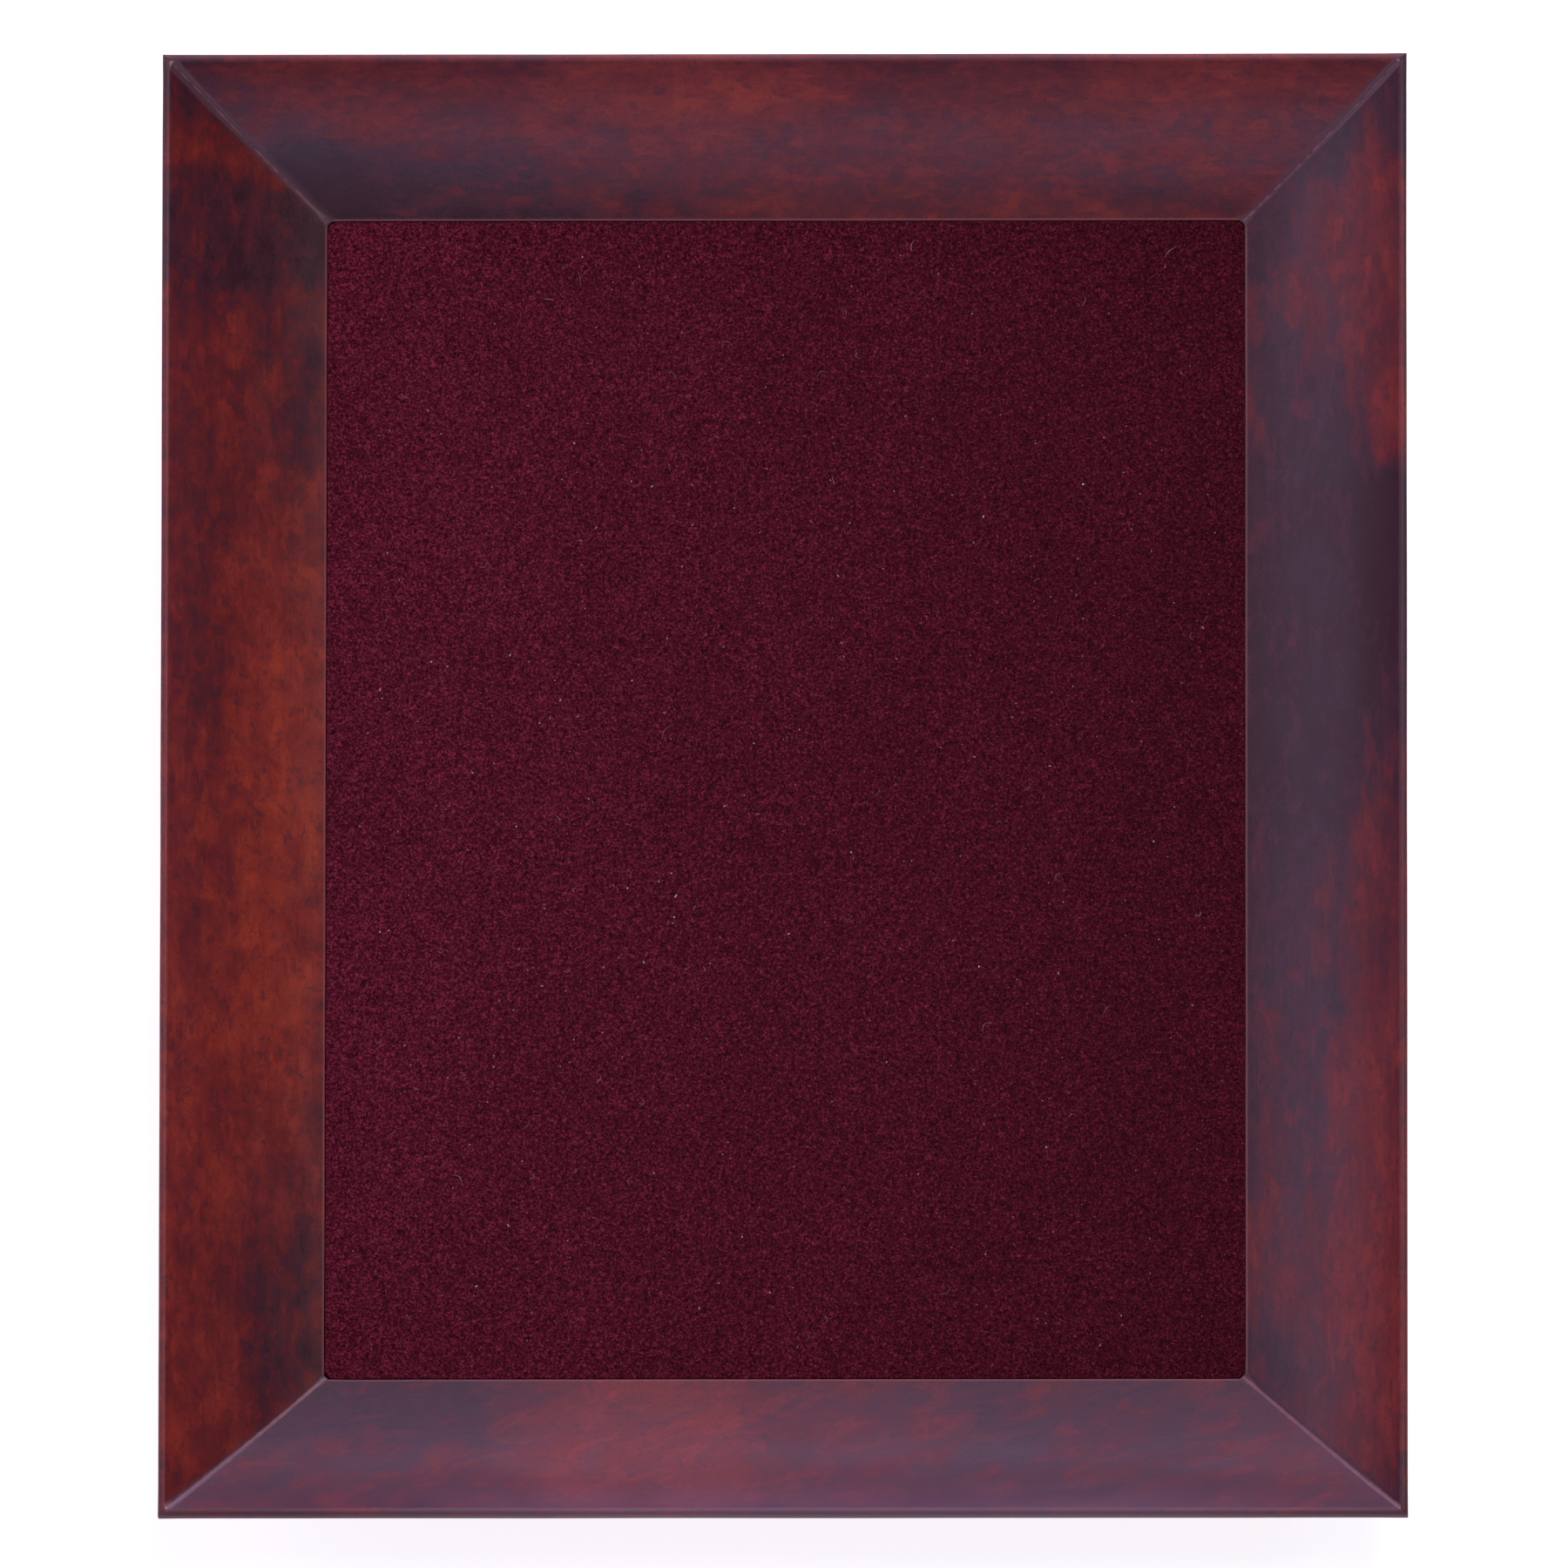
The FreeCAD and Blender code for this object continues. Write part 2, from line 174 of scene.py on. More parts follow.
class Shader:
    """A material being made: it adds shader nodes and joins them."""

    def __init__(self, name, **constants):
        self.material = bpy.data.materials.new(name)
        self.material.use_nodes = True
        self.nodes = self.material.node_tree.nodes
        self.links = self.material.node_tree.links
        self.surface = self.nodes["Principled BSDF"]
        for socket_name, value in constants.items():
            self.surface.inputs[socket_name.replace("_", " ")].default_value = value
        place = self.nodes.new("ShaderNodeTexCoord").outputs["Object"]
        self.place = self.scaled(place, 1 / MM, 1 / MM, 1 / MM)     # in millimetres

    def put(self, value, socket):
        if isinstance(value, bpy.types.NodeSocket):
            self.links.new(value, socket)
        else:
            socket.default_value = value

    def add(self, kind, *inputs, **named_inputs):
        """A new node, with inputs filled in by their order or by their names."""
        node = self.nodes.new(f"ShaderNode{kind}")
        for value, socket in zip(inputs, node.inputs):
            self.put(value, socket)
        for name, value in named_inputs.items():
            self.put(value, node.inputs[name])
        return node

    def math(self, operation, first, second=0.0, clamp=False):
        node = self.add("Math", first, second)
        node.operation = operation
        node.use_clamp = clamp
        return node.outputs[0]

    def total(self, *parts, start=0.0):
        """The sum of values times their weights, given in pairs, on top of a start."""
        for value, weight in parts:
            start = self.math("ADD", self.math("MULTIPLY", value, weight), start)
        return start

    def scaled(self, vector, *factors):
        node = self.add("VectorMath", vector, factors)
        node.operation = "MULTIPLY"
        return node.outputs[0]

    def split(self, vector):
        return self.add("SeparateXYZ", vector).outputs

    def join(self, x, y, z):
        return self.add("CombineXYZ", x, y, z).outputs[0]

    def noise(self, vector, size, detail=2.0, roughness=0.5, distortion=0.0):
        """Soft noise from 0 to 1, with lumps of about the given size."""
        node = self.add("TexNoise", Vector=vector, Scale=1 / size, Detail=detail)
        node.inputs["Roughness"].default_value = roughness
        node.inputs["Distortion"].default_value = distortion
        return node.outputs["Fac"]

    def cells(self, vector, size):
        """Distance to the nearest of scattered points about the given size apart."""
        return self.add("TexVoronoi", Vector=vector, Scale=1 / size).outputs["Distance"]

    def spread(self, value, low, high, to_low=0.0, to_high=1.0):
        """The value's low to high as to_low to to_high, with soft ends."""
        node = self.add("MapRange", value, low, high, to_low, to_high)
        node.interpolation_type = "SMOOTHSTEP"
        return node.outputs[0]

    def ramp(self, value, stops):
        node = self.add("ValToRGB", value)
        elements = node.color_ramp.elements
        while len(elements) < len(stops):
            elements.new(0.5)
        for element, (position, colour) in zip(elements, stops):
            element.position = position
            element.color = (*colour, 1)
        return node.outputs[0]

    def mix(self, share, first, second):
        """The first colour, with a share of the second."""
        node = self.add("Mix", Factor=share)
        node.data_type = "RGBA"
        inputs = [socket for socket in node.inputs if socket.type == "RGBA"]
        for colour, socket in zip((first, second), inputs):
            self.put(colour if isinstance(colour, bpy.types.NodeSocket) else (*colour, 1), socket)
        return next(socket for socket in node.outputs if socket.type == "RGBA")

    def bump(self, height, depth, strength):
        """A normal from a height of 0 to 1 that stands for the given depth in metres."""
        return self.add("Bump", Strength=strength, Distance=depth, Height=height).outputs["Normal"]

    def finish(self, **values):
        for socket_name, value in values.items():
            self.put(value, self.surface.inputs[socket_name.replace("_", " ")])
        return self.material


# Wood finish ----------------------------------------------------------------

DARK_PLUM = (0.047, 0.0095, 0.0175)
PLUM = (0.070, 0.0150, 0.0300)
DARK_RED = (0.140, 0.0140, 0.0190)
BROWN_RED = (0.240, 0.0220, 0.0190)
ORANGE_RED = (0.430, 0.0480, 0.0200)
FILLER = (0.260, 0.1100, 0.1400)
FILLER_DARK = (0.125, 0.0470, 0.0700)
# the lightest filler, which the painted highlight along each bead reaches
FILLER_LIGHT = (0.300, 0.1250, 0.1600)

# What shows beside the filler on each side, and how much of it: partly filler wiped there, partly
# painted shade in the crease of the mitre
SMEARS_AND_PAINTED_SHADE = {
    "left": (FILLER_DARK, 0.35),
    "right": (PLUM, 0.80),
    "back": (FILLER_DARK, 0.60),
    "front": (FILLER_DARK, 0.12),
}

# Soft areas where the stain went on thicker or thinner, for each side; the areas marked below are
# painted light and shade instead. Each is: place along the side from -1 to 1, inset across it from 0 to
# 1, half its size along and across in those same measures, and how much lighter and more orange (or
# darker, if negative) it is.
STAIN_LIGHT_AND_SHADE_AREAS = {
    "left": (
        (0.88, 0.22, 0.035, 0.20, 0.16),
        (0.93, 0.30, 0.06, 0.50, -0.22),
        (0.76, 0.50, 0.08, 0.90, -0.29),
        (0.50, 0.95, 0.28, 0.40, -0.20),
        (0.05, 0.72, 0.42, 0.38, 0.24),
        (0.30, 0.25, 0.20, 0.30, -0.10),
        (-0.38, 0.35, 0.20, 0.40, 0.14),
        # painted shade in the inner front corner
        (-0.74, 1.00, 0.15, 0.45, -0.25),
        (-0.88, 0.18, 0.14, 0.30, 0.10),
        # painted light: lighter along the rim
        (-0.10, 0.04, 0.60, 0.10, 0.13),
    ),
    "right": (
        (0.26, 0.60, 0.32, 0.75, -0.32),
        (0.33, 0.08, 0.10, 0.22, -0.40),
        (0.70, 0.22, 0.22, 0.20, 0.13),
        (0.50, 0.08, 0.08, 0.16, 0.34),
        # painted shade in the inner back corner
        (0.78, 1.00, 0.12, 0.30, -0.30),
        (0.94, 0.30, 0.09, 0.60, -0.26),
        (0.94, 0.90, 0.08, 0.40, -0.10),
        (-0.22, 0.85, 0.30, 0.50, -0.18),
        (-0.60, 0.22, 0.32, 0.26, 0.18),
        # painted shade in the inner front corner
        (-0.80, 1.00, 0.10, 0.30, -0.26),
    ),
    "back": (
        (-0.15, 0.20, 0.22, 0.22, 0.24),
        (0.66, 0.16, 0.18, 0.20, 0.22),
        (-0.93, 0.30, 0.10, 0.45, -0.16),
        # painted shade in the inner left corner
        (-0.76, 1.00, 0.10, 0.50, -0.30),
        # painted shade: darker all along the sight edge
        (0.00, 1.00, 1.20, 0.40, -0.11),
        # painted shade by the inner left corner
        (-0.60, 0.95, 0.30, 0.40, -0.22),
    ),
    "front": (
        (-0.24, 0.55, 0.20, 0.70, 0.26),
        (0.14, 0.75, 0.12, 0.40, 0.08),
        (0.50, 0.50, 0.26, 0.80, -0.08),
        (-0.62, 0.90, 0.22, 0.45, -0.14),
        (0.80, 0.55, 0.12, 0.50, 0.04),
        (-0.86, 0.40, 0.12, 0.50, -0.06),
    ),
}
# How much of a purple painted reflection of the lamps each side's lacquer carries beside its rim,
# painted into its colour
PAINTED_REFLECTION = {"left": 0.04, "right": 0.05, "back": 0.10, "front": 0.48}
PAINTED_REFLECTION_COLOUR = (0.22, 0.130, 0.200)
SIGHT_EDGE_HIGHLIGHT = (0.42, 0.15, 0.16)    # painted highlight along the sight edge, where its eased round catches the light

# A line that falls this steeply from just under the rim parts the inside faces from the outside.
# They blend between two lines that start this many millimetres under the rim.
INSIDE_SLOPE = 0.66
INSIDE_DROPS = (5.0, 4.0)
SHOWN_OUTSIDE = 0.25             # how much of the areas of stain and of painted light and shade shows on the outside faces
AREA_BLUR = 0.9                  # of the areas' edges: 0 is sharp, and 1 is the softest
DRIFT_ALONG = 26.0               # how far the areas' edges wander, in millimetres
DRIFT_ACROSS = 9.1

# How light each side's stain is before the areas are added, partly painted light and shade: one wood,
# with the left and back lighter and the right and front darker as light falls on them
STAIN_AND_LIGHT_LEVEL = {"left": 0.43, "right": 0.31, "back": 0.41, "front": 0.25}

# How each side's figure runs: degrees off the grain, how much it is drawn out, how dabbed it is,
# and how strongly it is barred across the grain and streaked along it
FIGURE = {
    "left": (0, 0.60, 0.62, 0.42),
    "right": (0, 0.50, 0.55, 0.20),
    "back": (0, 0.60, 0.62, 0.22),
    "front": (28, 0.45, 0.26, 0.08),
}


def insets(shader, x, y):
    """Insets from the long and from the short sides' rims, both in millimetres of a long side."""
    inset_x = shader.math("SUBTRACT", HALF_WIDTH / MM, shader.math("ABSOLUTE", x))
    inset_y = shader.math("SUBTRACT", HALF_LENGTH / MM, shader.math("ABSOLUTE", y))
    return inset_x, shader.math("DIVIDE", inset_y, SQUEEZE)


class SideFinish(Shader):
    """The finish of one side, with places on it in millimetres of a long side."""

    def __init__(self, name, runs_along_y):
        super().__init__(f"mahogany_{name}", Specular_IOR_Level=0.65)
        self.half_run = (HALF_LENGTH if runs_along_y else HALF_WIDTH) / MM
        self.end_setback = SQUEEZE if runs_along_y else 1.0
        x, y, self.height = self.split(self.place)
        inset_x, inset_y = insets(self, x, y)
        self.along, self.across = (y, inset_x) if runs_along_y else (x, inset_y)
        self.side_place = self.join(self.along, self.across, self.height)
        wander = self.math("SUBTRACT", self.noise(self.side_place, 26.0, 2.0), 0.5)
        self.along_drifted = self.total((wander, DRIFT_ALONG), start=self.along)
        self.across_drifted = self.total((wander, DRIFT_ACROSS), start=self.across)
        above_line = self.total((self.across, INSIDE_SLOPE), start=self.height)
        below_rim, just_below_rim = (RIM_HEIGHT / MM - drop for drop in INSIDE_DROPS)
        self.inside = self.spread(above_line, below_rim, just_below_rim)

    def turned(self, degrees, stretch):
        """The place on the side, turned by an angle and drawn out the way that it then runs."""
        cosine = math.cos(math.radians(degrees))
        sine = math.sin(math.radians(degrees))
        forward = self.total((self.along, cosine * stretch), (self.across, sine * stretch))
        aside = self.total((self.across, cosine), (self.along, -sine))
        return self.join(forward, aside, self.height)

    def area(self, centre_along, centre_across, size_along, size_across, amount):
        """A soft-edged oval from the areas of stain and of painted light and shade, as an amount to add
        to its lightness.
        """
        run = self.math("SUBTRACT", self.along_drifted, centre_along * self.half_run)
        run = self.math("DIVIDE", run, size_along * self.half_run)
        rise = self.math("SUBTRACT", self.across_drifted, centre_across * LONG_SIDE_WIDTH / MM)
        rise = self.math("DIVIDE", rise, size_across * LONG_SIDE_WIDTH / MM)
        distance = self.total((run, run), (rise, rise))
        return self.spread(distance, 1 - AREA_BLUR, 1 + AREA_BLUR, amount, 0.0)

    def unevenness(self, areas):
        """What the soft areas of stain and of painted light and shade add to the lightness, which is
        less on the outside.
        """
        uneven = 0.0
        for area in areas:
            uneven = self.math("ADD", self.area(*area), uneven)
        shown = self.spread(self.inside, 0.0, 1.0, SHOWN_OUTSIDE, 1.0)
        return self.math("MULTIPLY", uneven, shown)

    def smear_and_painted_shade(self):
        """How much filler smear and painted shade lies on the wood here, from 0 to 1 at a mitre."""
        setback = self.math("MULTIPLY", self.across, self.end_setback)
        reach = self.math("SUBTRACT", self.half_run, setback)
        from_mitre = self.math("SUBTRACT", reach, self.math("ABSOLUTE", self.along))
        ragged = self.math("MULTIPLY", self.noise(self.place, 3.0, 3.0, 0.6), 1.8)
        smear_and_shade = self.spread(self.math("SUBTRACT", from_mitre, ragged), -0.6, 2.6, 1.0, 0.0)
        return self.math("MULTIPLY", smear_and_shade, self.inside)

    def painted_reflection(self, most):
        """How much painted reflection lies here: the most near the middle of the rim, and less away."""
        reflected = self.spread(self.across, 1.5, 13.0, most, 0.0)
        off_middle = self.math("SUBTRACT", self.along_drifted, 0.1 * self.half_run)
        from_middle = self.math("ABSOLUTE", off_middle)
        off_ends = self.spread(from_middle, 0.4 * self.half_run, self.half_run, 1.0, 0.15)
        return self.math("MULTIPLY", self.math("MULTIPLY", reflected, off_ends), self.inside)


def mahogany(name, runs_along_y):
    """Red mahogany stain, dabbed on by hand, under semi-gloss lacquer, with painted light and shade in
    its colour: a reflection beside the rim, a highlight along the sight edge, and shade by the inner
    corners and the mitres.
    """
    shader = SideFinish(name, runs_along_y)
    degrees, stretch, dabbed, barred = FIGURE[name]
    figure_place = shader.turned(degrees, stretch)
    clouds = shader.noise(figure_place, 10.0, 3.0, 0.55, 0.6)
    dabs = shader.noise(figure_place, 2.8, 4.0, 0.65, 0.9)
    flecks = shader.noise(shader.side_place, 0.50, 2.0, 0.6)
    grain = shader.noise(shader.scaled(shader.side_place, 0.04, 1.0, 1.0), 0.8, 2.0)
    bars = shader.noise(shader.scaled(shader.side_place, 1.0, 0.22, 1.0), 5.0, 2.0)
    columns = shader.noise(shader.scaled(shader.side_place, 0.10, 1.0, 1.0), 6.0, 2.0)
    layers = (
        (clouds, 0.60),
        (dabs, dabbed),
        (flecks, 0.48),
        (grain, 0.16),
        (bars, barred),
        (columns, 0.9 * barred),
    )
    average = 0.5 * sum(weight for _, weight in layers)
    # Each side's level and areas hold painted light and shade as well as the stain.
    level = shader.math("ADD", shader.unevenness(STAIN_LIGHT_AND_SHADE_AREAS[name]), STAIN_AND_LIGHT_LEVEL[name] - average)
    level = shader.total(*layers, start=level)
    bare = shader.spread(shader.noise(figure_place, 6.5, 3.0, 0.6, 0.7), 0.53, 0.60, 0.0, 0.13)
    stain = shader.ramp(
        shader.math("ADD", level, bare),
        ((0.0, DARK_PLUM), (0.14, PLUM), (0.33, DARK_RED), (0.58, BROWN_RED), (1.0, ORANGE_RED)),
    )
    mottles = shader.noise(shader.side_place, 3.0, 4.0, 0.75, 0.5)
    stain = shader.mix(shader.spread(mottles, 0.55, 0.62, 0.0, 0.50), stain, PLUM)
    pores = shader.noise(shader.scaled(shader.side_place, 0.09, 1.0, 1.0), 0.28, 1.0)
    colour = shader.mix(shader.spread(pores, 0.66, 0.76, 0.0, 0.35), stain, PLUM)

    smear_and_shade_colour, wiped = SMEARS_AND_PAINTED_SHADE[name]
    # Wiped filler beside each mitre, and partly painted shade where the crease of the mitre falls dark.
    colour = shader.mix(shader.math("MULTIPLY", shader.smear_and_painted_shade(), wiped), colour, smear_and_shade_colour)
    from_edge = shader.math("SUBTRACT", LONG_SIDE_WIDTH / MM, shader.across)
    # Painted highlight: a pale line along the sight edge, where its eased round catches the light.
    colour = shader.mix(shader.spread(from_edge, 0.35, 0.75, 0.45, 0.0), colour, SIGHT_EDGE_HIGHLIGHT)
    # Painted reflection: a purple sheen beside the rim, painted into the colour.
    colour = shader.mix(shader.painted_reflection(PAINTED_REFLECTION[name]), colour, PAINTED_REFLECTION_COLOUR)
    roughness = shader.spread(clouds, 0.3, 0.7, 0.33, 0.41)
    rubbed = shader.spread(shader.across, RIM_RADIUS / MM, 2 * RIM_RADIUS / MM, 0.26, 0.0)
    roughness = shader.math("ADD", roughness, rubbed)
    surface = shader.total((dabs, 0.5), (grain, 0.5))
    normal = shader.bump(surface, 0.03 * MM, 0.5)
    return shader.finish(Base_Color=colour, Roughness=roughness, Normal=normal)


def filler_finish():
    """The tinted filler along the mitres, which took the stain greyer than the wood, with a painted
    highlight along the middle of each bead and painted shade that darkens the back beads.
    """
    shader = Shader("corner_filler", Specular_IOR_Level=0.65)
    streaks = shader.noise(shader.place, 2.2, 3.0, 0.6)
    x, y, _ = shader.split(shader.place)
    off_mitre = shader.math("SUBTRACT", *insets(shader, x, y))
    # Painted highlight: lighter along the middle of each bead, where its hollow catches the lamps.
    painted_highlight_core = shader.spread(shader.math("ABSOLUTE", off_mitre), 0.1, 0.9, 0.22, -0.25)
    # Painted shade: darker towards the back, so that the front beads read as lit.
    painted_shade_at_back = shader.spread(y, -HALF_LENGTH / MM, HALF_LENGTH / MM, 0.0, -0.30)
    lightness = shader.math("ADD", shader.math("ADD", streaks, painted_highlight_core), painted_shade_at_back)
    colour = shader.ramp(lightness, ((0.30, FILLER_DARK), (0.55, FILLER), (0.80, FILLER_LIGHT)))
    roughness = shader.spread(streaks, 0.3, 0.7, 0.32, 0.44)
    normal = shader.bump(streaks, 0.04 * MM, 0.7)
    return shader.finish(Base_Color=colour, Roughness=roughness, Normal=normal)


# Other finishes -------------------------------------------------------------

def velvet_finish():
    """Short burgundy pile: tufts a little under a millimetre across that lean different ways."""
    shader = Shader(
        "velvet",
        Roughness=1.0,
        Specular_IOR_Level=0.12,
        Sheen_Weight=0.25,
        Sheen_Roughness=0.45,
        Sheen_Tint=(0.75, 0.10, 0.24, 1),
    )
    bent = shader.noise(shader.place, 0.95, 1.0, 0.5, 1.2)
    from_ridge = shader.math("ABSOLUTE", shader.math("SUBTRACT", bent, 0.5))
    ridges = shader.math("SUBTRACT", 1.0, shader.math("MULTIPLY", from_ridge, 5.0), clamp=True)
    tufts = shader.noise(shader.place, 0.60, 2.0, 0.6, 0.6)
    lay = shader.noise(shader.scaled(shader.place, 1.0, 0.55, 1.0), 22.0, 2.0)
    to_right = shader.math("DIVIDE", shader.split(shader.place)[0], PAD_HALF_WIDTH / MM)
    level = shader.total((ridges, 0.22), (tufts, 0.82), (lay, 0.05), (to_right, -0.045), start=-0.025)
    pile = shader.ramp(level, (
        (0.36, (0.027, 0.0019, 0.0046)),
        (0.50, (0.066, 0.0046, 0.0122)),
        (0.62, (0.124, 0.0094, 0.0262)),
        (0.76, (0.310, 0.0320, 0.0800)),
    ))
    dust = shader.spread(shader.cells(shader.place, 6.5), 0.020, 0.040, 1.0, 0.0)
    colour = shader.mix(shader.math("MULTIPLY", dust, 0.45), pile, (0.45, 0.20, 0.22))
    return shader.finish(Base_Color=colour, Normal=shader.bump(level, 0.5 * MM, 0.7))


def felt_finish():
    shader = Shader("felt", Roughness=1.0, Specular_IOR_Level=0.1, Sheen_Weight=0.3, Sheen_Roughness=0.6)
    matted = shader.noise(shader.place, 1.6, 4.0, 0.7, 1.5)
    cloudy = shader.noise(shader.place, 18.0, 2.0)
    level = shader.total((matted, 0.7), (cloudy, 0.3))
    colour = shader.ramp(level, ((0.35, (0.045, 0.006, 0.012)), (0.65, (0.105, 0.014, 0.028))))
    return shader.finish(Base_Color=colour, Normal=shader.bump(matted, 0.4 * MM, 0.8))


def wadding_finish():
    shader = Shader("wadding", Roughness=1.0, Specular_IOR_Level=0.1)
    fibres = shader.noise(shader.place, 2.4, 5.0, 0.75, 2.0)
    colour = shader.ramp(fibres, ((0.3, (0.62, 0.60, 0.55)), (0.7, (0.82, 0.80, 0.76))))
    return shader.finish(Base_Color=colour, Normal=shader.bump(fibres, 0.6 * MM, 0.8))


def plywood_finish():
    """Raw birch face veneer along Y, with the other plies showing on the edges."""
    shader = Shader("plywood", Specular_IOR_Level=0.3)
    x, y, z = shader.split(shader.place)
    waved_x = shader.total((shader.noise(shader.place, 60.0, 2.0), 22.0), start=x)
    waved_place = shader.join(waved_x, y, z)
    figure = shader.noise(shader.scaled(waved_place, 1.0, 0.06, 1.0), 5.0, 4.0, 0.6)
    pores = shader.noise(shader.scaled(shader.place, 1.0, 0.05, 1.0), 0.5, 2.0)
    level = shader.total((figure, 0.7), (pores, 0.3))
    face = shader.ramp(level, (
        (0.30, (0.36, 0.21, 0.11)),
        (0.50, (0.50, 0.32, 0.18)),
        (0.75, (0.60, 0.42, 0.26)),
    ))
    plies = shader.math("PINGPONG", shader.math("SUBTRACT", z, SIDE_BOTTOM / MM), 1.0)
    crossways = shader.spread(plies, 0.35, 0.65, 0.0, 0.55)
    depth = shader.math("SUBTRACT", PANEL_TOP / MM, z)
    on_edge = shader.spread(depth, 0.05, 0.3)
    colour = shader.mix(shader.math("MULTIPLY", crossways, on_edge), face, (0.20, 0.11, 0.06))
    roughness = shader.spread(level, 0.3, 0.7, 0.60, 0.75)
    normal = shader.bump(pores, 0.08 * MM, 0.6)
    return shader.finish(Base_Color=colour, Roughness=roughness, Normal=normal)


def hardboard_finish():
    shader = Shader("hardboard", Specular_IOR_Level=0.35)
    pulp = shader.noise(shader.place, 1.2, 5.0, 0.75, 1.0)
    cloudy = shader.noise(shader.place, 24.0, 2.0)
    level = shader.total((pulp, 0.65), (cloudy, 0.35))
    colour = shader.ramp(level, ((0.35, (0.11, 0.055, 0.028)), (0.65, (0.25, 0.14, 0.075))))
    roughness = shader.spread(level, 0.35, 0.65, 0.45, 0.62)
    normal = shader.bump(pulp, 0.06 * MM, 0.5)
    return shader.finish(Base_Color=colour, Roughness=roughness, Normal=normal)


def steel_finish(name, bright, dark):
    """Drawn wire or strip, with faint draw marks and handling stains."""
    shader = Shader(name, Metallic=1.0)
    marks = shader.noise(shader.scaled(shader.place, 6.0, 6.0, 0.6), 1.0, 3.0)
    stains = shader.noise(shader.place, 1.5, 3.0, 0.6)
    colour = shader.mix(shader.spread(stains, 0.4, 0.7), bright, dark)
    roughness = shader.spread(marks, 0.3, 0.7, 0.25, 0.45)
    normal = shader.bump(marks, 0.02 * MM, 0.5)
    return shader.finish(Base_Color=colour, Roughness=roughness, Normal=normal)


def lint_finish():
    shader = Shader("lint", Roughness=0.8)
    tint = shader.noise(shader.place, 9.0, 1.0)
    colour = shader.ramp(tint, (
        (0.35, (0.36, 0.12, 0.14)),
        (0.55, (0.46, 0.26, 0.22)),
        (0.70, (0.66, 0.58, 0.60)),
    ))
    return shader.finish(Base_Color=colour)


# Sides ----------------------------------------------------------------------

def direction_degrees(vector):
    return math.degrees(math.atan2(vector.y, vector.x))


def arc_points(centre, radius, from_degrees, to_degrees, steps):
    points = []
    for step in range(steps + 1):
        angle = math.radians(from_degrees + (to_degrees - from_degrees) * step / steps)
        points.append(centre + Vector((math.cos(angle), math.sin(angle))) * radius)
    return points


def eased_corner(before, corner, after, radius, steps=6):
    """Points along the arc that rounds a corner of an outline."""
    to_before = (before - corner).normalized()
    to_after = (after - corner).normalized()
    half_angle = to_before.angle(to_after) / 2
    centre = corner + (to_before + to_after).normalized() * (radius / math.sin(half_angle))
    setback = radius / math.tan(half_angle)
    start = direction_degrees(corner + to_before * setback - centre)
    end = direction_degrees(corner + to_after * setback - centre)
    turn = (end - start + 180) % 360 - 180
    return arc_points(centre, radius, start, start + turn, steps)


def cove_line():
    """Points (inset, z) over the rim, down the cove and round the sight edge to the lip."""
    rim_centre = Vector((RIM_RADIUS, RIM_HEIGHT - RIM_RADIUS))
    sight_centre = Vector((LONG_SIDE_WIDTH - SIGHT_EDGE_RADIUS, SIGHT_EDGE_HEIGHT - SIGHT_EDGE_RADIUS))
    slope = -direction_degrees(sight_centre - rim_centre)
    for _ in range(SECTION_PASSES):
        rim_round = arc_points(rim_centre, RIM_RADIUS, 180, 90 - slope - COVE_HALF_TURN, 14)
        sight_round = arc_points(sight_centre, SIGHT_EDGE_RADIUS, 90 - slope + COVE_HALF_TURN, 0, 6)
        chord = sight_round[0] - rim_round[-1]
        slope = -direction_degrees(chord)
    radius = chord.length / 2 / math.sin(math.radians(COVE_HALF_TURN))
    above = Vector((-chord.y, chord.x)).normalized()
    centre = rim_round[-1] + chord / 2 + above * radius * math.cos(math.radians(COVE_HALF_TURN))
    start = direction_degrees(rim_round[-1] - centre)
    cove = arc_points(centre, radius, start, start + 2 * COVE_HALF_TURN, 34)
    return rim_round + cove[1:-1] + sight_round


def side_outline():
    """The whole section of a side as points (inset, z), closed."""
    rebate_inset = LONG_SIDE_WIDTH - REBATE_WIDTH
    lip = Vector((LONG_SIDE_WIDTH, PANEL_TOP))
    rebate = Vector((rebate_inset, PANEL_TOP))
    rebate_foot = Vector((rebate_inset, SIDE_BOTTOM))
    plinth_foot = Vector((PLINTH_INSET, SIDE_BOTTOM))
    plinth_top = Vector((PLINTH_INSET, SIDE_BOTTOM + PLINTH_HEIGHT))
    band_foot = Vector((0, RIM_HEIGHT - RIM_BAND_HEIGHT))
    band_top = Vector((0, RIM_HEIGHT - RIM_RADIUS))
    outline = cove_line() + [lip, rebate, rebate_foot]
    outline += eased_corner(rebate_foot, plinth_foot, plinth_top, OUTSIDE_RADIUS / 2)
    outline += eased_corner(plinth_foot, plinth_top, band_foot, OUTSIDE_RADIUS)
    outline += eased_corner(plinth_top, band_foot, band_top, OUTSIDE_RADIUS)
    return outline


def with_holding_points(outline):
    """The outline with more points on its straight runs, close to their ends and between."""
    fuller = []
    for point, following in zip(outline, outline[1:] + outline[:1]):
        fuller.append(point)
        run = following - point
        if run.length > 2.5 * HOLDING_DISTANCE:
            hold = run.normalized() * HOLDING_DISTANCE
            parts = math.ceil((run - 2 * hold).length / LONGEST_RUN)
            for part in range(parts + 1):
                fuller.append(point + hold + (run - 2 * hold) * part / parts)
    return fuller


def outline_normals(outline):
    """Directions out of the wood at each point of a clockwise outline."""
    normals = []
    for index, point in enumerate(outline):
        along = outline[(index + 1) % len(outline)] - outline[index - 1]
        normals.append(Vector((-along.y, along.x)).normalized())
    return normals


def mitre_stations(half_run):
    """Cross-sections along a side: share of the way to the mitre, gap before it, how far sunk."""
    count = round(2 * half_run / STATION_STEP)
    inner = [(2 * step / count - 1, MITRE_EASE, 0) for step in range(count + 1)]
    return [(-1, 0, MITRE_EASE)] + inner + [(1, 0, MITRE_EASE)]


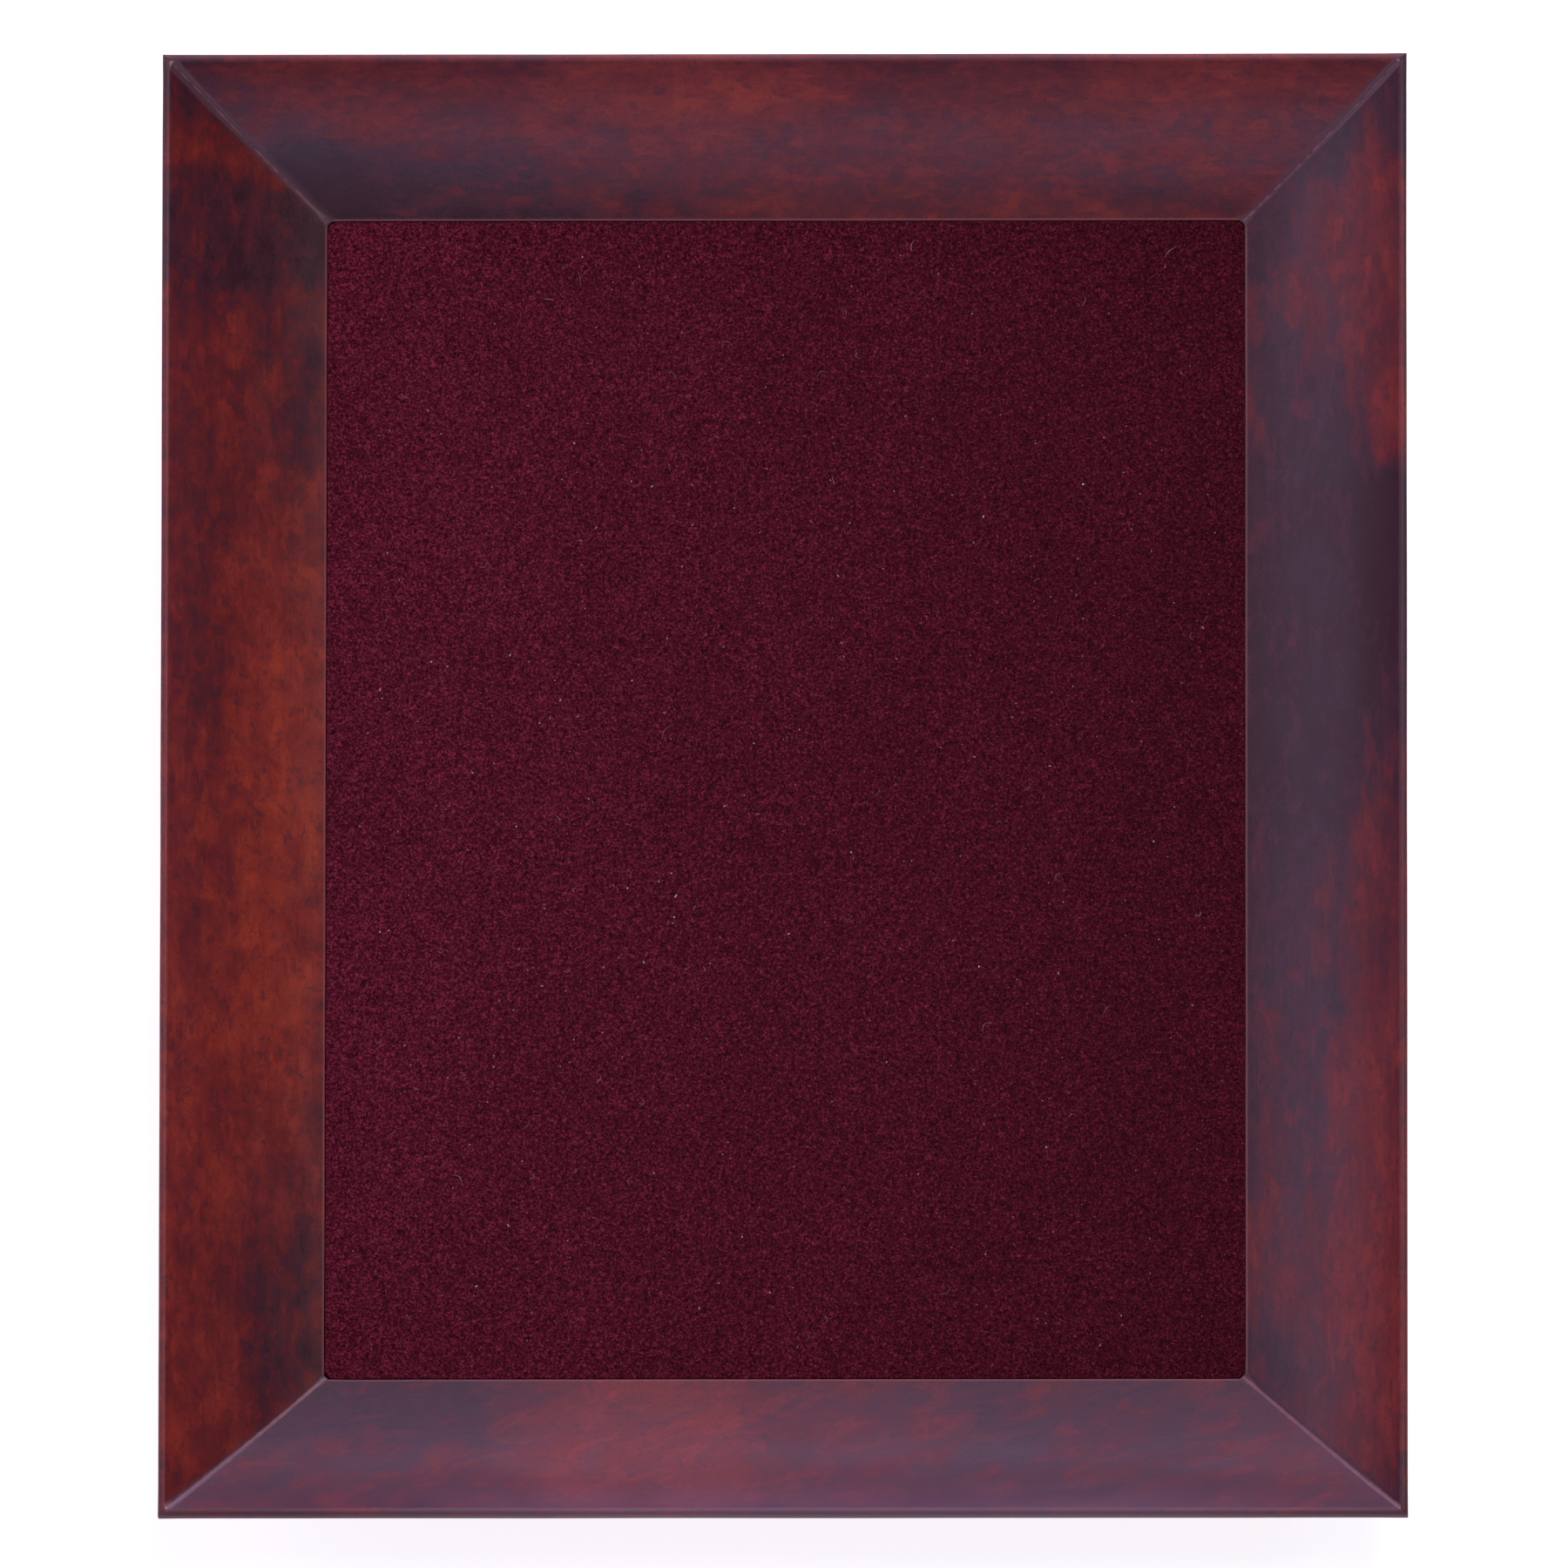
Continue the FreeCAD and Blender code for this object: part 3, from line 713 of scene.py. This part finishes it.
def make_side(name, sign, runs_along_y):
    """One side, mitred at both ends, with a trace of hand sanding in its faces."""
    outline = with_holding_points(side_outline())
    normals = outline_normals(outline)
    half_run = HALF_LENGTH if runs_along_y else HALF_WIDTH
    end_setback = SQUEEZE if runs_along_y else 1
    rim_distance = HALF_WIDTH if runs_along_y else HALF_LENGTH
    squeeze = 1 if runs_along_y else SQUEEZE
    seed = Vector((17.0, 5.0, 0.0)) * (sign + 3 * runs_along_y)
    bm = bmesh.new()
    rings = []
    for share, gap, sunk in mitre_stations(half_run):
        ring = []
        for point, normal in zip(outline, normals):
            reach = half_run - point.x * end_setback
            along = share * (reach - gap)
            fade = smooth_step(reach - abs(along), 0, WAVE_FADE)
            fade *= smooth_step(point.y, PANEL_TOP, SIGHT_EDGE_HEIGHT)
            place = Vector((along / WAVE_LENGTH, point.x / WAVE_WIDTH, point.y / WAVE_WIDTH)) + seed
            hollow = (0.5 + 0.5 * noise.noise(place)) * HAND_WAVE * fade
            inset, z = point - normal * (hollow + sunk)
            across = sign * (rim_distance - inset * squeeze)
            ring.append(bm.verts.new((across, along, z) if runs_along_y else (along, across, z)))
        rings.append(ring)
    skin(bm, rings)
    bm.faces.new(rings[0])
    bm.faces.new(rings[-1])
    material = mahogany(name, runs_along_y)
    return add_piece(f"{name}_side_wood", bm, material, "plate", (f"{name}_side",))


# Filler beads ---------------------------------------------------------------

def make_bead(name, sign_x, sign_y, rim_reach, edge_reach, lip_reach, material):
    """The wiped run of filler in one inside mitre, widening from the pad up to the rim."""
    line = cove_line()
    rim_end = max(range(len(line)), key=lambda index: line[index].y)
    stations = line[rim_end + BEAD_START:]
    stations += [Vector((LONG_SIDE_WIDTH, z)) for z in (PAD_TOP - 1.5 * MM, PANEL_TOP + 0.3 * MM)]
    stations.reverse()
    bm = bmesh.new()
    rings = []
    for inset, z in stations:
        rise = smooth_step(z, SIGHT_EDGE_HEIGHT, RIM_HEIGHT)
        on_cove = edge_reach + (rim_reach - edge_reach) * rise
        past_edge = smooth_step(z, SIGHT_EDGE_HEIGHT - 0.3 * MM, SIGHT_EDGE_HEIGHT + 1.3 * MM)
        reach = lip_reach + (on_cove - lip_reach) * past_edge
        ripple = noise.noise(Vector((sign_x * 3.1, sign_y * 5.3, z / (4 * MM))))
        reach *= 1 + BEAD_UNEVENNESS * ripple
        corner = Vector((sign_x * (HALF_WIDTH - inset), sign_y * (HALF_LENGTH - inset * SQUEEZE), z))
        inward = Vector((-sign_x, -sign_y, 0))
        corner -= inward * BEAD_SUNK
        centre = corner + inward * reach
        ring = [bm.verts.new(corner)]
        for step in range(BEAD_ARC_STEPS + 1):
            angle = math.pi / 2 * step / BEAD_ARC_STEPS
            towards = Vector((sign_x * math.cos(angle), sign_y * math.sin(angle), 0))
            ring.append(bm.verts.new(centre + towards * reach))
        rings.append(ring)
    skin(bm, rings)
    bm.faces.new(rings[0])
    bm.faces.new(rings[-1])
    stands_for = (f"corner_fillet_{name}",)
    return add_piece(f"{name}_mitre_bead", bm, material, "plate", stands_for)


# Sheets and slabs -----------------------------------------------------------

def grid_lines(half, step, edge_zone=0.0):
    """Positions from -half to half, closer together within the edge zones."""
    inner = half - edge_zone
    count = max(1, round(2 * inner / step))
    lines = [-inner + 2 * inner * index / count for index in range(count + 1)]
    edge_count = round(edge_zone / EDGE_STEP)
    edge = [inner + edge_zone * (index + 1) / edge_count for index in range(edge_count)]
    return [-value for value in reversed(edge)] + lines + edge


def rounded(x, y, half_x, half_y, radius):
    """A point of a rectangle, moved in to round its corners, and the way out from there."""
    over_x = abs(x) - (half_x - radius)
    over_y = abs(y) - (half_y - radius)
    if over_x > 0 and over_y > 0:
        way_out = Vector((math.copysign(over_x, x), math.copysign(over_y, y)))
        pull = max(over_x, over_y) / way_out.length
        place = Vector((x, y)) + way_out * (pull - 1)
        return place, way_out.normalized()
    if abs(over_x) < abs(over_y) and over_x > 0 or abs(x) >= half_x - 1e-9:
        return Vector((x, y)), Vector((math.copysign(1, x), 0))
    return Vector((x, y)), Vector((0, math.copysign(1, y)))


def make_grid(bm, half_x, half_y, radius, step, height):
    """A sheet over a rounded rectangle. Gives its rows, and its edge as (vertex, way out)."""
    rows = []
    outward = {}
    lines_x = grid_lines(half_x, step, radius)
    lines_y = grid_lines(half_y, step, radius)
    for y in lines_y:
        row = []
        for x in lines_x:
            place, way_out = rounded(x, y, half_x, half_y, radius)
            vertex = bm.verts.new((place.x, place.y, height(place.x, place.y)))
            outward[vertex] = way_out
            row.append(vertex)
        rows.append(row)
    skin(bm, rows, closed=False)
    right = [row[-1] for row in rows[:-1]]
    left = [row[0] for row in rows[:0:-1]]
    edge = rows[0][:-1] + right + rows[-1][:0:-1] + left
    return rows, [(vertex, outward[vertex]) for vertex in edge]


def edge_ring(bm, edge, out, z):
    """The sheet's edge, moved out by a distance and set to a level."""
    return [bm.verts.new((*(vertex.co.xy + way * out), z)) for vertex, way in edge]


def rolled(radius, angles):
    """How far out and down a rounded edge has gone at each angle from the face above it."""
    turns = [math.radians(angle) for angle in angles]
    return [(radius * math.sin(turn), radius * (1 - math.cos(turn))) for turn in turns]


def make_slab(bm, half_x, half_y, corner, roll, bottom, top, step, relief):
    """A closed slab with rolled edges whose faces have a little relief."""
    def top_height(x, y):
        return top - relief * (0.5 + 0.5 * noise.noise(Vector((x, y, 0)) / (5 * MM)))

    def bottom_height(x, y):
        return bottom + relief * (0.5 + 0.5 * noise.noise(Vector((x, y, 1)) / (5 * MM)))

    _, top_edge = make_grid(bm, half_x - roll, half_y - roll, corner - roll, step, top_height)
    rings = [[vertex for vertex, _ in top_edge]]
    edge_places = rolled(roll, (22, 45, 68, 90))
    for out, fall in edge_places:
        rings.append(edge_ring(bm, top_edge, out, top - relief / 2 - fall))
    for out, rise in reversed(edge_places):
        rings.append(edge_ring(bm, top_edge, out, bottom + relief / 2 + rise))
    _, bottom_edge = make_grid(bm, half_x - roll, half_y - roll, corner - roll, step, bottom_height)
    rings.append([vertex for vertex, _ in bottom_edge])
    skin(bm, rings)


# Pad ------------------------------------------------------------------------

def swelled_heights(mesh, held):
    """Heights of a shell's points after it has swelled as cloth, with some points held."""
    scene = bpy.context.scene
    shell = bpy.data.objects.new("swell", mesh)
    scene.collection.objects.link(shell)
    shell.vertex_groups.new(name="held").add(held, 1.0, "REPLACE")
    cloth = shell.modifiers.new("swell", "CLOTH")
    cloth.settings.vertex_group_mass = "held"
    cloth.settings.use_pressure = True
    cloth.settings.uniform_pressure_force = SWELL_PRESSURE
    cloth.settings.effector_weights.gravity = 0
    cloth.point_cache.frame_end = SWELL_FRAMES
    for step in range(1, SWELL_FRAMES + 1):
        scene.frame_set(step)
    swelled = shell.evaluated_get(bpy.context.evaluated_depsgraph_get())
    heights = [vertex.co.z for vertex in swelled.data.vertices]
    bpy.data.objects.remove(shell)
    scene.frame_set(1)
    return heights


def held_down(lift):
    """The lift once the stretched velvet holds it down, which it does more as it rises."""
    return CROWN * math.tanh(max(0, lift) / CROWN)


def find_cell(lines, value):
    """Which gap between the lines a value is in, and how far across that gap."""
    index = min(len(lines) - 2, max(0, bisect.bisect_right(lines, value) - 1))
    share = (value - lines[index]) / (lines[index + 1] - lines[index])
    return index, min(1, max(0, share))


class Swell:
    """How far the wadding lifts the velvet, found by letting a coarse cloth shell swell."""

    def __init__(self):
        self.lines_x = grid_lines(PAD_HALF_WIDTH, SWELL_STEP)
        self.lines_y = grid_lines(PAD_HALF_LENGTH, SWELL_STEP)
        bm = bmesh.new()
        rows, edge = make_grid(bm, PAD_HALF_WIDTH, PAD_HALF_LENGTH, 0, SWELL_STEP, lambda x, y: PAD_TOP)
        foot = edge_ring(bm, edge, 0, WADDING_BOTTOM)
        skin(bm, [[vertex for vertex, _ in edge], foot])
        bm.faces.new(foot)
        bmesh.ops.recalc_face_normals(bm, faces=bm.faces)
        bm.verts.index_update()
        held = [vertex.index for vertex, _ in edge] + [vertex.index for vertex in foot]
        top = [[vertex.index for vertex in row] for row in rows]
        mesh = bpy.data.meshes.new("swell")
        bm.to_mesh(mesh)
        bm.free()
        heights = swelled_heights(mesh, held)
        self.lifts = [[held_down(heights[index] - PAD_TOP) for index in row] for row in top]
        bpy.data.meshes.remove(mesh)

    def at(self, x, y):
        column, share_x = find_cell(self.lines_x, x)
        row, share_y = find_cell(self.lines_y, y)
        near, far = self.lifts[row], self.lifts[row + 1]
        near_lift = near[column] * (1 - share_x) + near[column + 1] * share_x
        far_lift = far[column] * (1 - share_x) + far[column + 1] * share_x
        return near_lift * (1 - share_y) + far_lift * share_y


def pile_height(swell, x, y):
    """Height of the velvet: the swell of the wadding, and tufts that lean together."""
    place = Vector((x, y, 0))
    tufts = noise.noise(place / (1.7 * MM)) + 0.5 * noise.noise(place / (3.9 * MM))
    unevenness = noise.noise(place / (34 * MM)) * 0.2
    return PAD_TOP - CROWN + swell.at(x, y) * (1 + unevenness) + tufts * PILE_RELIEF


def turned_ring(bm, edge, inset, z_at):
    """A ring of the velvet turned under the board, mitred at the corners."""
    ring = []
    for vertex, way in edge:
        x, y = vertex.co.xy + way * VELVET_EDGE_RADIUS
        if abs(way.y) >= abs(way.x):
            x *= (PAD_HALF_WIDTH - inset) / PAD_HALF_WIDTH
            y = math.copysign(PAD_HALF_LENGTH - inset, y)
        else:
            x = math.copysign(PAD_HALF_WIDTH - inset, x)
            y *= (PAD_HALF_LENGTH - inset) / PAD_HALF_LENGTH
        ring.append(bm.verts.new((x, y, z_at(x, y))))
    return ring


def turned_height(x, y):
    """Level of the turned velvet, which is thicker where its corners are folded."""
    from_fold = abs((PAD_HALF_WIDTH - abs(x)) - (PAD_HALF_LENGTH - abs(y)))
    fold = 1 - smooth_step(from_fold, 1 * MM, 7 * MM)
    ripple = 0.05 * MM * noise.noise(Vector((x, y, 2)) / (9 * MM))
    return PANEL_TOP + GLUE_LIFT * (1.2 - fold) + ripple * (1 - fold)


def make_velvet(swell):
    """The velvet: over the wadding, round the edges, and glued under the board."""
    bm = bmesh.new()
    half_x = PAD_HALF_WIDTH + PILE_BEYOND_PAD - VELVET_EDGE_RADIUS
    half_y = PAD_HALF_LENGTH + PILE_BEYOND_PAD - VELVET_EDGE_RADIUS
    corner = PAD_CORNER_RADIUS - VELVET_EDGE_RADIUS
    _, edge = make_grid(bm, half_x, half_y, corner, PILE_STEP, functools.partial(pile_height, swell))
    rings = [[vertex for vertex, _ in edge]]
    edge_top = PAD_TOP - CROWN
    for out, fall in rolled(VELVET_EDGE_RADIUS, (15, 30, 45, 60, 75, 90)):
        rings.append(edge_ring(bm, edge, out, edge_top - fall))
    for z in (edge_top - 2.2 * MM, edge_top - 3.6 * MM, PANEL_TOP + 0.8 * MM):
        rings.append(edge_ring(bm, edge, VELVET_EDGE_RADIUS - 0.10 * MM, z))
    rings.append(edge_ring(bm, edge, VELVET_EDGE_RADIUS - 0.20 * MM, PANEL_TOP + 0.35 * MM))
    for inset in (1.2 * MM, 3 * MM, 6 * MM, 9 * MM, 12 * MM, 15 * MM, TURN_UNDER - 0.3 * MM):
        rings.append(turned_ring(bm, edge, inset, turned_height))
    inner_floor = PANEL_TOP + VELVET_THICKNESS
    for inset in (TURN_UNDER, TURN_UNDER - 0.2 * MM, 3 * MM):
        rings.append(turned_ring(bm, edge, inset, lambda x, y: inner_floor))
    for z in (inner_floor, WADDING_TOP - 0.2 * MM):
        rings.append(edge_ring(bm, edge, 0, z))
    skin(bm, rings)
    bm.faces.new(rings[-1])
    velvet = add_piece("velvet_cover", bm, velvet_finish(), "pad", ("pad_velvet",), 60)
    return velvet


def make_wadding():
    bm = bmesh.new()
    make_slab(
        bm, WADDING_HALF_WIDTH, WADDING_HALF_LENGTH, 1.4 * MM, 0.8 * MM,
        WADDING_BOTTOM, WADDING_TOP - 0.35 * MM, 3 * MM, 0.25 * MM,
    )
    wadding = add_piece("wadding_batt", bm, wadding_finish(), "pad", ("pad_wadding",), 60)
    return wadding


def make_hair(bm, swell, rng, root):
    """One curled lint hair lying on the pile, as a thin tapering tube."""
    length = rng.uniform(*HAIR_LENGTHS)
    curl = rng.uniform(-1, 1) * HAIR_CURL
    heading = rng.uniform(0, 2 * math.pi)
    radius = rng.uniform(*HAIR_RADII)
    place = Vector(root)
    rings = []
    for step in range(HAIR_STEPS + 1):
        share = step / HAIR_STEPS
        heading += math.radians(curl) / HAIR_STEPS * (1 + 0.8 * math.sin(step * 1.3))
        forward = Vector((math.cos(heading), math.sin(heading), 0))
        place = place + forward * length / HAIR_STEPS
        lift = 0.22 * MM + 0.25 * MM * math.sin(math.pi * share)
        centre = Vector((place.x, place.y, pile_height(swell, place.x, place.y) + lift))
        width = radius * (1 - 0.6 * abs(2 * share - 1) ** 2)
        aside = Vector((-forward.y, forward.x, 0)) * width
        upward = Vector((0, 0, width))
        corners = ((0, 1), (0.87, -0.5), (-0.87, -0.5))
        rings.append([bm.verts.new(centre + aside * a + upward * b) for a, b in corners])
    skin(bm, rings)
    bm.faces.new(rings[0])
    bm.faces.new(rings[-1])


def make_speck(bm, swell, rng, root):
    """A crumb of lint: a small uneven flake."""
    size = rng.uniform(*SPECK_SIZES)
    turn = Matrix.Rotation(rng.uniform(0, math.pi), 3, "Z")
    shape = Vector((rng.uniform(1.0, 2.4), 1.0, 0.6)) * size
    made = bmesh.ops.create_icosphere(bm, subdivisions=1, radius=1)["verts"]
    lift = Vector((0, 0, pile_height(swell, *root[:2]) + 0.15 * MM))
    for vertex in made:
        vertex.co *= rng.uniform(0.7, 1.2)
        vertex.co = turn @ (vertex.co * shape) + Vector((root[0], root[1], 0)) + lift


def make_lint(swell):
    """Hairs and crumbs caught in the pile."""
    rng = random.Random(7)
    bm = bmesh.new()
    for maker, count in ((make_hair, LINT_HAIRS), (make_speck, LINT_SPECKS)):
        for _ in range(count):
            x = rng.uniform(-1, 1) * (PAD_HALF_WIDTH - LINT_MARGIN)
            y = rng.uniform(-1, 1) * (PAD_HALF_LENGTH - LINT_MARGIN)
            maker(bm, swell, rng, (x, y, 0))
    return add_piece("velvet_lint", bm, lint_finish(), "pad", (), 60)


def make_felt():
    """The felt under the plate, cut a little short of the plinth."""
    bm = bmesh.new()
    make_slab(
        bm, FELT_HALF_WIDTH, FELT_HALF_LENGTH, 3 * MM, 0.35 * MM,
        0.02 * MM, FELT_TOP, 3 * MM, 0.12 * MM,
    )
    felt = add_piece("felt_sheet", bm, felt_finish(), "plate", ("underside_felt",), 60)
    return felt


# CAD nodes that stay --------------------------------------------------------

def finish_cad_nodes():
    """Gives the CAD pieces that stay their finishes."""
    brad_steel = steel_finish("brad_steel", (0.60, 0.60, 0.61), (0.32, 0.31, 0.30))
    v_nail_steel = steel_finish("v_nail_steel", (0.40, 0.42, 0.46), (0.22, 0.22, 0.24))
    finishes = {"bottom_panel": plywood_finish(), "pad_board": hardboard_finish()}
    for name, *_ in SIDES:
        finishes[f"panel_brads_{name}"] = brad_steel
    for name, *_ in CORNERS:
        finishes[f"v_nails_{name}"] = v_nail_steel
    for node_name, material in finishes.items():
        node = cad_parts[node_name]
        node.data.materials.clear()
        node.data.materials.append(material)


# Floor, light and camera ----------------------------------------------------

FLOOR_HALF_SIZE = 6.0
FLOOR_DROP = 0.05 * MM           # the floor lies this far under the plate
FLOOR_GLOW = 0.80                # makes the floor read as white, but not in the lacquer's reflections
CAMERA_DISTANCE = 10.0
FRAME_SIDE_AT_RIM = 383.1 * MM   # how much of the plane of the rim the picture takes in
SENSOR_WIDTH = 36.0
LEAN_FORWARD = 8.2               # degrees that the camera stands in front of straight above
LEAN_RIGHT = 0.9
ROLL = 0.07                      # degrees that the camera is turned in its own plane
AIM = Vector((0.1 * MM, -0.4 * MM, RIM_HEIGHT))
WORLD_STRENGTH = 0.07

# Name, azimuth, elevation, distance, width, height, radiance and colour of each lamp. Azimuth 0
# stands behind the plate, and 90 to its right.
LAMPS = (
    ("key", 32, 74, 2.2, 0.8, 0.8, 9.4, (1.0, 0.97, 0.95)),
    ("behind", 4, 24, 1.8, 2.8, 1.2, 1.20, (0.74, 0.61, 1.0)),
    ("behind_low", 4, 3, 1.8, 2.8, 0.18, 9.0, (0.76, 0.61, 1.0)),
    ("left", -90, 25, 1.8, 1.8, 1.1, 1.10, (0.72, 0.63, 1.0)),
    ("front", 180, 27, 1.8, 2.2, 0.85, 1.02, (0.70, 0.60, 1.0)),
)


def make_floor():
    """A pale floor that can be seen only from above, so that views from below show the plate."""
    bm = bmesh.new()
    bmesh.ops.create_grid(bm, x_segments=8, y_segments=8, size=FLOOR_HALF_SIZE)
    mesh = bpy.data.meshes.new("floor")
    bm.to_mesh(mesh)
    bm.free()
    floor = bpy.data.objects.new("floor", mesh)
    floor.location.z = -FLOOR_DROP
    bpy.context.scene.collection.objects.link(floor)
    shader = Shader("floor_paper", Roughness=0.9, Specular_IOR_Level=0.1)
    paper = shader.noise(shader.place, 40.0, 2.0)
    colour = shader.ramp(paper, ((0.0, (0.86, 0.86, 0.87)), (1.0, (0.90, 0.90, 0.90))))
    mirrored = shader.add("LightPath").outputs["Is Glossy Ray"]
    glow = shader.math("MULTIPLY", shader.math("SUBTRACT", 1.0, mirrored), FLOOR_GLOW)
    shader.finish(Base_Color=colour, Emission_Color=(1, 1, 1, 1), Emission_Strength=glow)
    clear = shader.add("BsdfTransparent").outputs[0]
    below = shader.add("NewGeometry").outputs["Backfacing"]
    either = shader.add("MixShader", below, shader.surface.outputs[0], clear)
    shader.links.new(either.outputs[0], shader.nodes["Material Output"].inputs["Surface"])
    mesh.materials.append(shader.material)


def make_soft_box(name, azimuth, elevation, distance, width, height, radiance, colour):
    """A broad lamp facing the plate."""
    light = bpy.data.lights.new(name, "AREA")
    light.shape = "RECTANGLE"
    light.size = width
    light.size_y = height
    light.color = colour
    light.energy = radiance * math.pi * width * height
    lamp = bpy.data.objects.new(name, light)
    turn, rise = math.radians(azimuth), math.radians(elevation)
    towards = Vector((math.sin(turn) * math.cos(rise), math.cos(turn) * math.cos(rise), math.sin(rise)))
    lamp.location = towards * distance
    lamp.rotation_euler = towards.to_track_quat("Z", "Y").to_euler()
    lamp.visible_camera = False
    bpy.context.scene.collection.objects.link(lamp)


def make_world():
    world = bpy.data.worlds.new("studio")
    world.use_nodes = True
    background = world.node_tree.nodes["Background"]
    background.inputs["Color"].default_value = (1, 1, 1, 1)
    background.inputs["Strength"].default_value = WORLD_STRENGTH
    bpy.context.scene.world = world


def make_camera():
    """A long lens, high above the plate and a little in front of it, with +Y up the picture."""
    lean = Vector((math.sin(math.radians(LEAN_RIGHT)), -math.sin(math.radians(LEAN_FORWARD)), 0))
    back = Vector((lean.x, lean.y, math.sqrt(1 - lean.length_squared)))
    up = (Vector((0, 1, 0)) - back * back.y).normalized()
    right = up.cross(back)
    data = bpy.data.cameras.new("camera")
    data.sensor_width = SENSOR_WIDTH
    data.lens = SENSOR_WIDTH * CAMERA_DISTANCE / FRAME_SIDE_AT_RIM
    data.clip_end = 2.5 * CAMERA_DISTANCE
    camera = bpy.data.objects.new("camera", data)
    turn = Matrix((right, up, back)).transposed() @ Matrix.Rotation(math.radians(ROLL), 3, "Z")
    camera.matrix_world = Matrix.Translation(AIM + back * CAMERA_DISTANCE) @ turn.to_4x4()
    bpy.context.scene.collection.objects.link(camera)
    bpy.context.scene.camera = camera


# Assembly -------------------------------------------------------------------

bpy.context.scene.view_settings.view_transform = "Standard"
make_camera()
make_floor()
for lamp_values in LAMPS:
    make_soft_box(*lamp_values)
make_world()
for side_name, side_sign, along_y in SIDES:
    make_side(side_name, side_sign, along_y)
filler = filler_finish()
for corner in CORNERS:
    make_bead(*corner, filler)
wadding_swell = Swell()
make_velvet(wadding_swell)
make_wadding()
make_lint(wadding_swell)
make_felt()
finish_cad_nodes()
